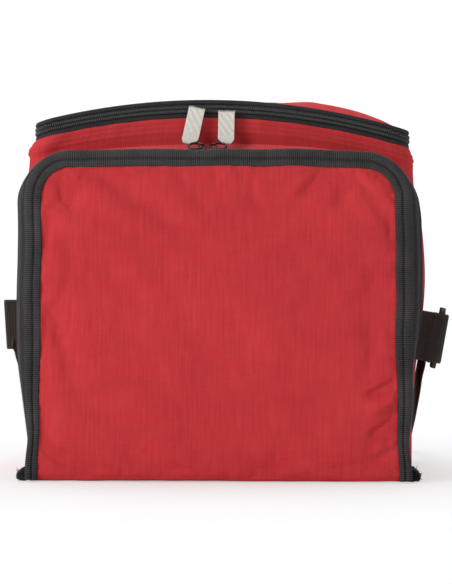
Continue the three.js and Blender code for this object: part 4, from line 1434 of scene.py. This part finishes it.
def pocket_zip_end(side, which, seed):
    node = f"pocket_zip_end_{which}"
    count = 56
    ring = round_profile(BUNCH_PROFILE, count, rounds=3)
    centre = ring.mean(0)
    y = np.concatenate([[-94.6, -94.5], np.linspace(-94.2, -76.6, 40), [-76.3, -76.2]])
    k = np.arange(len(y))
    inward = np.minimum(1.0, np.minimum((k + 0.25) / 4.0, (len(y) - k - 0.75) / 4.0))
    size = 0.25 + 0.75 * np.sqrt(np.maximum(0.0, 1 - (1 - inward) ** 2))
    rings = centre + (ring - centre) * size[:, None, None]
    lump = stack(side * (BUNCH_X + rings[..., 0]), y[:, None], rings[..., 1])
    normals = grid_normals(lump, close_u=True)
    outward = lump - np.array([side * BUNCH_X, 0, 5.5])
    outward[..., 1] = 0
    normals *= np.sign((normals * outward).sum(-1, keepdims=True))
    lumps = noise_at(lump, 4.2, 2.0 + side)
    folds = np.abs(noise_at(lump * np.array([1, 0.5, 1]), 2.1, 5.0))
    ribs = np.abs(np.sin(PI * (lump[..., 1] * 0.5 + lump[..., 2]) / 1.3))
    lump = lump + normals * (1.55 * lumps - 1.25 * folds + 0.34 * ribs + 0.25)[..., None]
    lump[..., 2] = np.maximum(lump[..., 2], 0.15)
    around = np.linspace(0, len(BUNCH_PROFILE), count, endpoint=False)
    make(f"{node}_bunched", loft(lump, stack(y[:, None], around[None])), BLACK_RIB, node=node)
    # the frayed threads are real; their brown colour is painted glint
    make(f"{node}_frayed_threads", frayed_threads(side, centre, seed), THREAD_GLINT_BROWN,
         body=BODY[node], outward=False)


# ---------------------------------------------------------------- sliders, rings, pull tapes
# Each is built in its slider's frame: x along the zip, y across it, z away from the bag.
# A mount is (the frame's axes as columns, its origin).
RING_R, RING_WIRE = 5.0, 0.95
RING_ACROSS = 0.74                 # the ring's short radius as a share of its long one
RING_LEAN, RING_Z = math.radians(38), 4.3
ARM_Y = RING_R * RING_ACROSS * math.cos(RING_LEAN)
ARM_Z = RING_Z + RING_R * RING_ACROSS * math.sin(RING_LEAN)

SLIDER_LEVELS = np.array([  # z, share of the full outline
    (0.0, 0.92), (0.12, 0.97), (0.4, 1.0), (0.8, 0.985), (1.0, 0.97), (1.25, 0.985), (1.5, 0.97),
    (1.72, 0.92), (1.82, 0.82), (1.84, 0.5), (1.84, 0.2)])
BRIDGE_PATH = np.array([  # x, z
    (-3.4, 1.5), (-3.35, 3.2), (-3.0, 4.7), (-2.0, 5.55), (-0.8, 5.75), (0.6, 5.5), (1.9, 4.5),
    (2.5, 3.0), (2.8, 1.5)])
BRIDGE_SECTION = np.array([  # across, outward
    (-0.85, -0.15), (-0.75, -0.38), (0, -0.45), (0.75, -0.38), (0.85, -0.15), (0.85, 0.15),
    (0.7, 0.4), (0, 0.5), (-0.7, 0.4), (-0.85, 0.15)])
RIVET_LEVELS = np.array([(1.25, 1.7), (1.25, 1.95), (1.05, 2.15), (0.6, 2.22)])  # radius, z


def placed(points, mount):
    axes, origin = mount
    return points @ axes.T + origin


def slider(name, node, side, mount):
    half, wide = 4.0, 3.7
    plan = np.array([(-half, -wide * 0.62), (-half * 0.4, -wide), (half * 0.55, -wide),
                     (half, -wide * 0.55), (half, wide * 0.55), (half * 0.55, wide),
                     (-half * 0.4, wide), (-half, wide * 0.62)])
    plan[:, 0] *= -side
    ring = round_profile(plan, 64, rounds=5)
    z, share = SLIDER_LEVELS[:, :1], SLIDER_LEVELS[:, 1:]
    parts = [loft(stack(ring[:, 0] * share, ring[:, 1] * share, z))]
    # the bridge the ring hangs on: a flat bar bent over
    path = resample(BRIDGE_PATH * np.array([side, 1]), np.arange(len(BRIDGE_PATH)), 40, rounds=3)
    tangent = unit(np.gradient(path, axis=0))
    across, outward = split(BRIDGE_SECTION)
    parts.append(loft(stack(path[:, :1] - tangent[:, 1:] * outward, across,
                            path[:, 1:] + tangent[:, :1] * outward)))
    # small rivets at the bridge's feet
    angle = np.linspace(0, 2 * PI, 20, endpoint=False)
    radius, z = RIVET_LEVELS[:, :1], RIVET_LEVELS[:, 1:]
    for x in (-2.9, 2.3):
        parts.append(loft(stack(x * side + radius * np.cos(angle), radius * np.sin(angle), z)))
    verts, faces, uv = join(parts)
    make(name, (placed(verts, mount), faces, uv), METAL, node=node)


def wire_ring(name, node, side, mount):
    angle = np.linspace(0, 2 * PI, 72, endpoint=False)
    y = RING_R * RING_ACROSS * np.sin(angle)
    path = stack(RING_R * np.cos(angle) + side * (RING_R - 0.8), y * math.cos(RING_LEAN),
                 y * math.sin(RING_LEAN) + RING_Z)
    make(name, tube(placed(path, mount), RING_WIRE, 12, closed=True), METAL, node=node)


def fold_path(length):
    """(distance from the ring's arm, height off the tape's middle) along the folded tape."""
    front = [(length, 0.62), (length * 0.75, 0.60), (length * 0.45, 0.66), (length * 0.2, 0.8),
             (3.6, 1.0), (1.9, 1.15)]
    fold = [(1.25 * math.cos(angle), 1.25 * math.sin(angle))
            for angle in np.linspace(math.radians(70), math.radians(290), 12)]
    back = [(away, -height) for away, height in reversed(front)]
    back[-1] = (length - 0.7, -0.62)
    return np.array(front + fold + back)


def tape_turn(lean, cant):
    """Turns the tape's plane up and leans it, after canting it within its plane."""
    cos_cant, sin_cant = math.cos(cant), math.sin(cant)
    rise = PI / 2 - lean
    cos_rise, sin_rise = math.cos(rise), math.sin(rise)
    canted = np.array([[cos_cant, -sin_cant, 0], [sin_cant, cos_cant, 0], [0, 0, 1]])
    leaned = np.array([[1, 0, 0], [0, cos_rise, -sin_rise], [0, sin_rise, cos_rise]])
    return leaned @ canted


def pull_tape(name, node, mount, arm_x, lean, cant, length, seed, tip):
    """A woven tape folded over the ring's arm, its two frayed cut ends together at the far end."""
    count, columns = 170, 34
    path = fold_path(length)
    stations = run_lengths(path)
    run = np.linspace(0, stations[-1], count)[:, None]
    path = resample(path, stations, count, rounds=2)
    away, height = path[:, :1], path[:, 1:]
    across = np.linspace(-1, 1, columns)
    half = 2.6 + 3.25 * smooth(-1.4, 3.6, away)
    x = across * half + tip * fade(-1, 4.5, away)
    tangent = unit(np.gradient(path, axis=0))
    twill = np.abs(np.sin(PI * (run * 0.75 + x) / 1.5)) ** 0.8
    selvedge = smooth(0.86, 1.0, np.abs(across))
    relief = (0.17 * twill * (1 - selvedge)
              + 0.12 * selvedge * np.abs(np.sin(PI * run / 0.9)))
    curl = 0.35 * np.abs(across) ** 3 * smooth(4, 12, away) * math.cos(seed)
    grid = stack(x, away - tangent[:, 1:] * (0.32 + relief),
                 height + tangent[:, :1] * (0.32 + relief) + curl * 0.4)
    turn, arm = tape_turn(lean, cant), np.array([arm_x, ARM_Y, ARM_Z])
    grid = placed(grid @ turn.T + arm, mount)
    centre = placed(arm + turn @ np.array([0, length / 2, 0]), mount)
    uv = stack(run, x)
    normals = grid_normals(grid)

    def facing():
        return (grid[10, columns // 2] - centre) @ normals[10, columns // 2]

    if facing() < 0:
        grid, uv = grid[:, ::-1], uv[:, ::-1]
    sheet(name, grid, 0.62, PULL, uv, node=node)

    random = np.random.RandomState(seed)
    sunk = 0.2 if facing() >= 0 else -0.2
    parts = []
    for row, inner in ((0, 2), (count - 1, count - 3)):
        for place in np.linspace(0, columns - 1, 22):
            i = int(round(place))
            end = grid[row, i]
            way = unit(end - grid[inner, i])
            reach = random.uniform(0.5, 1.5)
            sideways = unit(grid[row, min(i + 1, columns - 1)] - grid[row, max(i - 1, 0)])
            part = np.linspace(0, 1, 5)[:, None]
            strand = (end - normals[row, i] * sunk - way * 0.4 + way * part * (reach + 0.4)
                      + sideways * random.uniform(-0.5, 0.5) * part ** 2)
            parts.append(tube(strand, np.linspace(0.24, 0.12, 5), 5))
    make(name + "_frayed_end", join(parts), THREAD_PALE, body=BODY[node], outward=False)


def puller(zip_name, which, side, mount, **tape):
    """One slider with its ring and pull tape."""
    node = f"{zip_name}_slider_{which}"
    slider(f"{node}_body", node, side, mount)
    node = f"{zip_name}_pull_ring_{which}"
    wire_ring(f"{node}_wire", node, side, mount)
    node = f"{zip_name}_pull_tape_{which}"
    pull_tape(f"{node}_woven", node, mount, **tape)


def pocket_pullers():
    for which, side, x, cant, tip, length, seed in (("left", -1, -12.3, -12, -2.0, 26.3, 3),
                                                    ("right", 1, -3.7, -1, 0.8, 23.0, 6)):
        mount = (np.eye(3), np.array([x, -85.75, PANEL_TOP + 0.9 - ZIP_IN]))
        puller("pocket", which, side, mount, arm_x=side * 9.0, lean=math.radians(8),
               cant=math.radians(cant), length=length, seed=seed, tip=tip)


def lid_pullers():
    """On the left side of the lid zip, which slopes as the rim does there."""
    slope = (ARCH_K * (HALF_W + ARCH_X) ** 2 - REAR_DROP - REAR_CORNER) / (2 * HALF_D)
    along = unit(np.array([0, 1, slope]))
    out = np.array([-1.0, 0, 0])
    axes = np.column_stack([along, np.cross(out, along), out])
    for which, side, y, seed in (("front", -1, 20.0, 9), ("rear", 1, 33.0, 12)):
        foot = soften(np.array([-(HALF_W + 2.4), y, 270.5]))
        mount = (axes, foot - np.array([0.35, 0, 0]))
        puller("lid", which, side, mount, arm_x=side * 5.0, lean=math.radians(84), cant=0.0,
               length=24.6, seed=seed, tip=0.0)


# ---------------------------------------------------------------- strap and its fixings
BAR_X = 161.5                      # the buckle's bars
STRAP_HALF, STRAP_REACH, STRAP_TURN = 154.2, 221.2, 30.0  # half width, length, corner radius
# (x, y) of the strap's end through the buckle: inside the rear bar, out and over the centre
# bar, then back inside as a short tail
BUCKLE_THREADING = [
    (153.6, -34.5), (157.4, -38.4), (159.2, -41.4), (160.6, -44.6), (162.9, -47.8),
    (164.2, -50.2), (164.3, -52.6), (163.2, -54.8), (161.2, -56.6), (159.4, -56.6),
    (158.2, -54.6), (157.3, -50.5), (156.6, -45.5)]


def webbing(name, path, width_ways, node, thick, across=30, step=0.42):
    """Ribbed webbing along a centre path, with selvedges; width_ways point across it."""
    stations = run_lengths(path)
    run = np.linspace(0, stations[-1], int(stations[-1] / step))
    centre = sample(path, stations, run)
    wide = sample(width_ways, stations, run)
    tangent = unit(np.gradient(centre, axis=0))
    wide = unit(wide - tangent * (wide * tangent).sum(1, keepdims=True))
    normal = np.cross(tangent, wide)[:, None]
    share = np.linspace(-1, 1, across)
    offset = share * WEB_WIDTH / 2
    selvedge = np.clip((np.abs(share) - 0.93) / 0.07, 0, 1)
    body = np.sqrt(np.clip(1 - selvedge ** 2, 0.0, 1))
    ribs = 0.16 * (np.abs(np.sin(PI * run / 1.7)) ** 0.7 - 0.5)
    lines = 0.06 * np.abs(np.sin(offset * PI / 3.2))
    height = ((thick / 2 + ribs[:, None] + lines) * (0.35 + 0.65 * body))[..., None]
    middle = centre[:, None] + wide[:, None] * offset[:, None]
    outer, inner = middle + normal * height, middle - normal * height
    sections = np.concatenate([outer, inner[:, ::-1]], 1)
    uv = stack(run[:, None], offset)
    make(name, loft(sections, np.concatenate([uv, uv[:, ::-1]], 1)), WEBBING, node=node)


def lean_out(points):
    """The right-hand tab and buckle lean out at the top."""
    x, y, z = split(points)
    x, z = x - FIXING_X, z - RIGHT_Z
    return stack(FIXING_X + x * math.cos(TILT) + z * math.sin(TILT), y,
                 RIGHT_Z - x * math.sin(TILT) + z * math.cos(TILT))


def fixing_stitches(name, points, node, proud):
    stitches(name, points, (0, -1.0, 0), BODY[node], THREAD_BLACK, length=1.7, gap=0.6,
             radius=0.26, proud=proud, slot="webbing")


def strap_tab_right():
    """Out of the seam, round the buckle's front bar and back."""
    node = "strap_tab_right"
    front = [(145.5, -1.15), (148.6, -1.15), (151, -1.3), (153.5, -1.9), (156.5, -3.0)]
    bend = [(BAR_X + 3.75 * math.cos(angle), 3.75 * math.sin(angle))
            for angle in np.linspace(math.radians(-112), math.radians(112), 18)]
    path = np.array([(x, STRAP_Y + y, RIGHT_Z)
                     for x, y in front + bend + [(x, -y) for x, y in reversed(front)]])
    path = resample(path, run_lengths(path), 200, rounds=2)
    # its centre line is leaned with the buckle, and so is its width
    leaned = lean_out(path)
    webbing(f"{node}_webbing", leaned, lean_out(path + np.array([0, 0, 1.0])) - leaned, node,
            thick=1.6)
    z = np.arange(RIGHT_Z - 16, RIGHT_Z + 16, 0.9)
    for k, (x, forward) in enumerate(((153.6, 2.8), (155.6, 3.55))):
        fixing_stitches(f"{node}_stitches_{k + 1}", lean_out(stack(x, STRAP_Y - forward, z)),
                        node, proud=0.12)


def buckle():
    """The buckle keeps its CAD shape, with softened edges and its own plastic."""
    obj = frame["nodes"]["strap_buckle"]
    obj.modifiers.new("Weld", "WELD").merge_threshold = 1e-6
    bevel = obj.modifiers.new("Bevel", "BEVEL")
    bevel.width = 0.0005
    bevel.segments = 3
    bevel.limit_method = "ANGLE"
    bevel.angle_limit = math.radians(35)
    obj.data.materials.clear()
    obj.data.materials.append(PLASTIC)
    for polygon in obj.data.polygons:
        polygon.use_smooth = False


def strap_end_left():
    """The left-hand end, folded double and sewn."""
    node = "strap_end_left"
    front = [(-145.5, -1.0), (-148.8, -1.0), (-152, -1.0), (-155.6, -1.0)]
    bend = [(-156.9 + 1.05 * math.cos(angle), 1.05 * math.sin(angle))
            for angle in np.linspace(math.radians(-90), math.radians(-270), 10)]
    rear = [(-155, 1.0), (-152, 1.0), (-148.8, 1.0), (-145.5, 1.0)]
    path = np.array([(x, STRAP_Y + y, LEFT_Z) for x, y in front + bend + rear])
    path = resample(path, run_lengths(path), 160, rounds=1)
    slant = -0.06
    webbing(f"{node}_webbing", path, np.tile([slant, 0, 1.0], (len(path), 1)), node,
            thick=1.45)
    z = np.arange(LEFT_Z - 15.5, LEFT_Z + 15.5, 0.9)
    for k, x in enumerate((-149.6, -151.4, -155.6)):
        row = stack(x + slant * (z - LEFT_Z), STRAP_Y - 1.85, z)
        fixing_stitches(f"{node}_stitches_{k + 1}", row, node, proud=0.14)


def in_fall(x, reach):
    """A point of the plane the strap falls in, `reach` behind its fixings."""
    z = -reach * math.sin(FALL)
    return (x * math.cos(ROLL) + z * math.sin(ROLL), STRAP_Y + reach * math.cos(FALL),
            STRAP_Z - x * math.sin(ROLL) + z * math.cos(ROLL))


def leg_x(reach):
    """The two legs lie closer in, against the bag's sides, near the front."""
    return STRAP_HALF - float(np.interp(reach, [13, 50, 85, 150], [2.3, 1.9, 0.9, 0]))


def shoulder_strap():
    """From the left end round behind the bag to the buckle."""
    upright = np.array([0, 0, 1.0])
    tilted = np.array([math.cos(FALL) * math.sin(ROLL), math.sin(FALL),
                       math.cos(FALL) * math.cos(ROLL)])
    # on the left it folds back round the end, then turns to lie along the droop
    points = [(-152.3, STRAP_Y + 2.5, LEFT_Z - 0.4), (-152.0, STRAP_Y + 5.0, LEFT_Z - 1.6),
              (-151.9, STRAP_Y + 10.5, LEFT_Z - 4.0)]
    ways = [upright, upright * 0.7 + tilted * 0.3, upright * 0.25 + tilted * 0.75]
    turn_x, turn_reach = STRAP_HALF - STRAP_TURN, STRAP_REACH - STRAP_TURN
    loop = [(-leg_x(reach), reach) for reach in np.linspace(22, turn_reach, 14)]
    loop += [(-turn_x + STRAP_TURN * math.cos(angle), turn_reach + STRAP_TURN * math.sin(angle))
             for angle in np.linspace(PI, PI / 2, 10)[1:]]
    loop += [(x, STRAP_REACH - 1.6 * (1 - (x / 122.6) ** 2))
             for x in np.linspace(-turn_x, turn_x, 20)[1:-1]]
    loop += [(turn_x + STRAP_TURN * math.cos(angle), turn_reach + STRAP_TURN * math.sin(angle))
             for angle in np.linspace(PI / 2, 0, 10)]
    loop += [(leg_x(reach), reach) for reach in np.linspace(turn_reach, 40, 12)[1:]]
    points += [in_fall(x, reach) for x, reach in loop]
    ways += [tilted] * len(loop)
    # on the right it threads the buckle and takes up the buckle's lean
    low, high = lean_out(np.array([[BAR_X, 0, RIGHT_Z], [BAR_X, 0, RIGHT_Z + 1.0]]))
    for k, (x, y) in enumerate(BUCKLE_THREADING):
        point = lean_out(np.array([x, y, RIGHT_Z]))
        if y > -45:
            point[2] = RIGHT_Z - (y - STRAP_Y) * 0.10
        points.append(tuple(point))
        share = {0: 0.5, 1: 0.85}.get(k, 1.0)
        ways.append(tilted * (1 - share) + (high - low) * share)
    stations = run_lengths(np.array(points))
    webbing("shoulder_strap_webbing", resample(points, stations, 900, rounds=10),
            resample(ways, stations, 900, rounds=10), "shoulder_strap", thick=1.4, across=16,
            step=0.5)


# ---------------------------------------------------------------- hidden boards and foams
def soft_copy(node, name, material, voxel, amount, size):
    """The CAD solid remeshed and given a soft, slightly uneven surface."""
    mesh = frame["nodes"][node].data.copy()
    obj = bpy.data.objects.new("tmp", mesh)
    bpy.context.scene.collection.objects.link(obj)
    obj.modifiers.new("Weld", "WELD").merge_threshold = 1e-6
    remesh = obj.modifiers.new("Remesh", "REMESH")
    remesh.mode = "VOXEL"
    remesh.voxel_size = voxel * MM
    smoothing = obj.modifiers.new("Smooth", "SMOOTH")
    smoothing.factor = 0.5
    smoothing.iterations = 2
    evaluated = obj.evaluated_get(bpy.context.evaluated_depsgraph_get())
    result = evaluated.to_mesh()
    coords, normals = np.zeros((2, len(result.vertices) * 3))
    result.vertices.foreach_get("co", coords)
    result.vertices.foreach_get("normal", normals)
    faces = [tuple(polygon.vertices) for polygon in result.polygons]
    evaluated.to_mesh_clear()
    bpy.data.objects.remove(obj)
    bpy.data.meshes.remove(mesh)
    coords, normals = coords.reshape(-1, 3) * 1000, normals.reshape(-1, 3)
    verts = coords + normals * (amount * noise_at(coords, size, 4.0))[:, None]
    make(name, (verts, faces, verts[:, :2]), material, node=node, outward=False)


def boards():
    for side in ("front", "back", "left", "right", "base"):
        soft_copy(f"{side}_foam", f"{side}_foam_board", FOAM, voxel=2.4, amount=0.12, size=3.0)
    soft_copy("base_board", "base_board_panel", BOARD, voxel=1.3,
              amount=0.05, size=2.0)


# ---------------------------------------------------------------- floor, light and camera
def floor_material():
    m = Shader("studio_floor")
    cloud = m.noise(m.solid(1 / 300.0))
    m.finish(color=m.mix(m.remap(cloud), rgb(246, 246, 246), rgb(250, 250, 250)), rough=0.9,
             spec=0.1)
    # away from the object the camera sees the floor as clean white
    x, y = m.split(m.solid(1.0))
    radius = m.calc("SQRT", m.plus(m.calc("POWER", m.times(x, 0.8), 2.0),
                                   m.calc("POWER", m.plus(y, 10.0), 2.0)))
    away = m.remap(radius, 90.0, 330.0, to=(0.45, 1.0))
    white = m.times(away, m.node("LightPath").outputs["Is Camera Ray"], clamp=True)
    glow = m.node("Emission")
    glow.inputs[0].default_value = (1, 1, 1, 1)
    glow.inputs[1].default_value = 1.0
    blend = m.node("MixShader")
    for socket, source in zip(blend.inputs, (white, m.bsdf.outputs[0], glow.outputs[0])):
        m.put(socket, source)
    m.put(m.output.inputs[0], blend.outputs[0])
    return m.material


def studio_floor():
    half, z = 9.0, -0.0004  # metres
    mesh = bpy.data.meshes.new("studio_floor")
    mesh.from_pydata([(-half, -half, z), (half, -half, z), (half, half, z), (-half, half, z)],
                     [], [(0, 1, 2, 3)])
    floor = bpy.data.objects.new("studio_floor", mesh)
    bpy.context.scene.collection.objects.link(floor)
    mesh.materials.append(floor_material())


def studio_world():
    """The camera sees a clean white behind the object whatever the fill light's strength."""
    fill_strength, seen_strength = 0.40, 1.05
    world = bpy.data.worlds.new("studio")
    bpy.context.scene.world = world
    world.use_nodes = True
    nodes, links = world.node_tree.nodes, world.node_tree.links
    fill = nodes["Background"]
    rays = nodes.new("ShaderNodeLightPath")
    seen = nodes.new("ShaderNodeBackground")
    for background, strength in ((fill, fill_strength), (seen, seen_strength)):
        background.inputs[0].default_value = (1, 1, 1, 1)
        background.inputs[1].default_value = strength
    blend = nodes.new("ShaderNodeMixShader")
    output = next(node for node in nodes if node.type == "OUTPUT_WORLD")
    links.new(rays.outputs["Is Camera Ray"], blend.inputs[0])
    links.new(fill.outputs[0], blend.inputs[1])
    links.new(seen.outputs[0], blend.inputs[2])
    links.new(blend.outputs[0], output.inputs[0])


def area_light(name, location, target, size, power):
    """A square white light, in metres and watts."""
    light = bpy.data.lights.new(name, "AREA")
    light.energy = power
    light.shape = "RECTANGLE"
    light.size = light.size_y = size
    light.color = (1, 1, 1)
    obj = bpy.data.objects.new(name, light)
    bpy.context.scene.collection.objects.link(obj)
    obj.location = location
    obj.rotation_mode = "QUATERNION"
    obj.rotation_quaternion = (Vector(target) - Vector(location)).to_track_quat("-Z", "Y")


def camera():
    scene = bpy.context.scene
    scene.view_settings.view_transform = "Standard"
    scene.view_settings.look = "None"
    data = bpy.data.cameras.new("camera")
    obj = bpy.data.objects.new("camera", data)
    scene.collection.objects.link(obj)
    scene.camera = obj
    aim, distance, frame_width = Vector((0.0058, -0.098, 0.1372)), 1.45, 0.4205  # metres
    azimuth, elevation = math.radians(1.7), math.radians(1.3)
    back = Vector((math.sin(azimuth) * math.cos(elevation),
                   -math.cos(azimuth) * math.cos(elevation), math.sin(elevation)))
    obj.location = aim + back * distance
    obj.rotation_mode = "QUATERNION"
    obj.rotation_quaternion = (-back).to_track_quat("-Z", "Y")
    data.sensor_width = 36.0
    data.lens = 36.0 * distance / frame_width
    data.clip_start, data.clip_end = 0.05, 60.0


# ---------------------------------------------------------------- build
bag_wall()
wall_stitches()
bag_base()
lid_top()
lid_padding()
lid_lining()
liner()
rim_binding()
lid_zip()
lid_zip_end(-1, "left")
lid_zip_end(1, "right")
hinge()
edging()
panel()
panel_padding()
pocket_zip()
gusset()
pocket_floor()
pocket_zip_end(-1, "left", seed=11)
pocket_zip_end(1, "right", seed=23)
pocket_pullers()
lid_pullers()
strap_tab_right()
buckle()
strap_end_left()
shoulder_strap()
boards()
studio_floor()
studio_world()
area_light("key_light", (-2.0, -1.55, 0.86), target=(0, 0, 0.13), size=0.9, power=35)
area_light("fill_light", (1.5, -1.3, 0.75), target=(0, 0, 0.13), size=1.2, power=3)
area_light("top_light", (-0.1, 0.35, 1.9), target=(0, 0, 0.2), size=1.2, power=19)
camera()

bpy.context.view_layer.update()
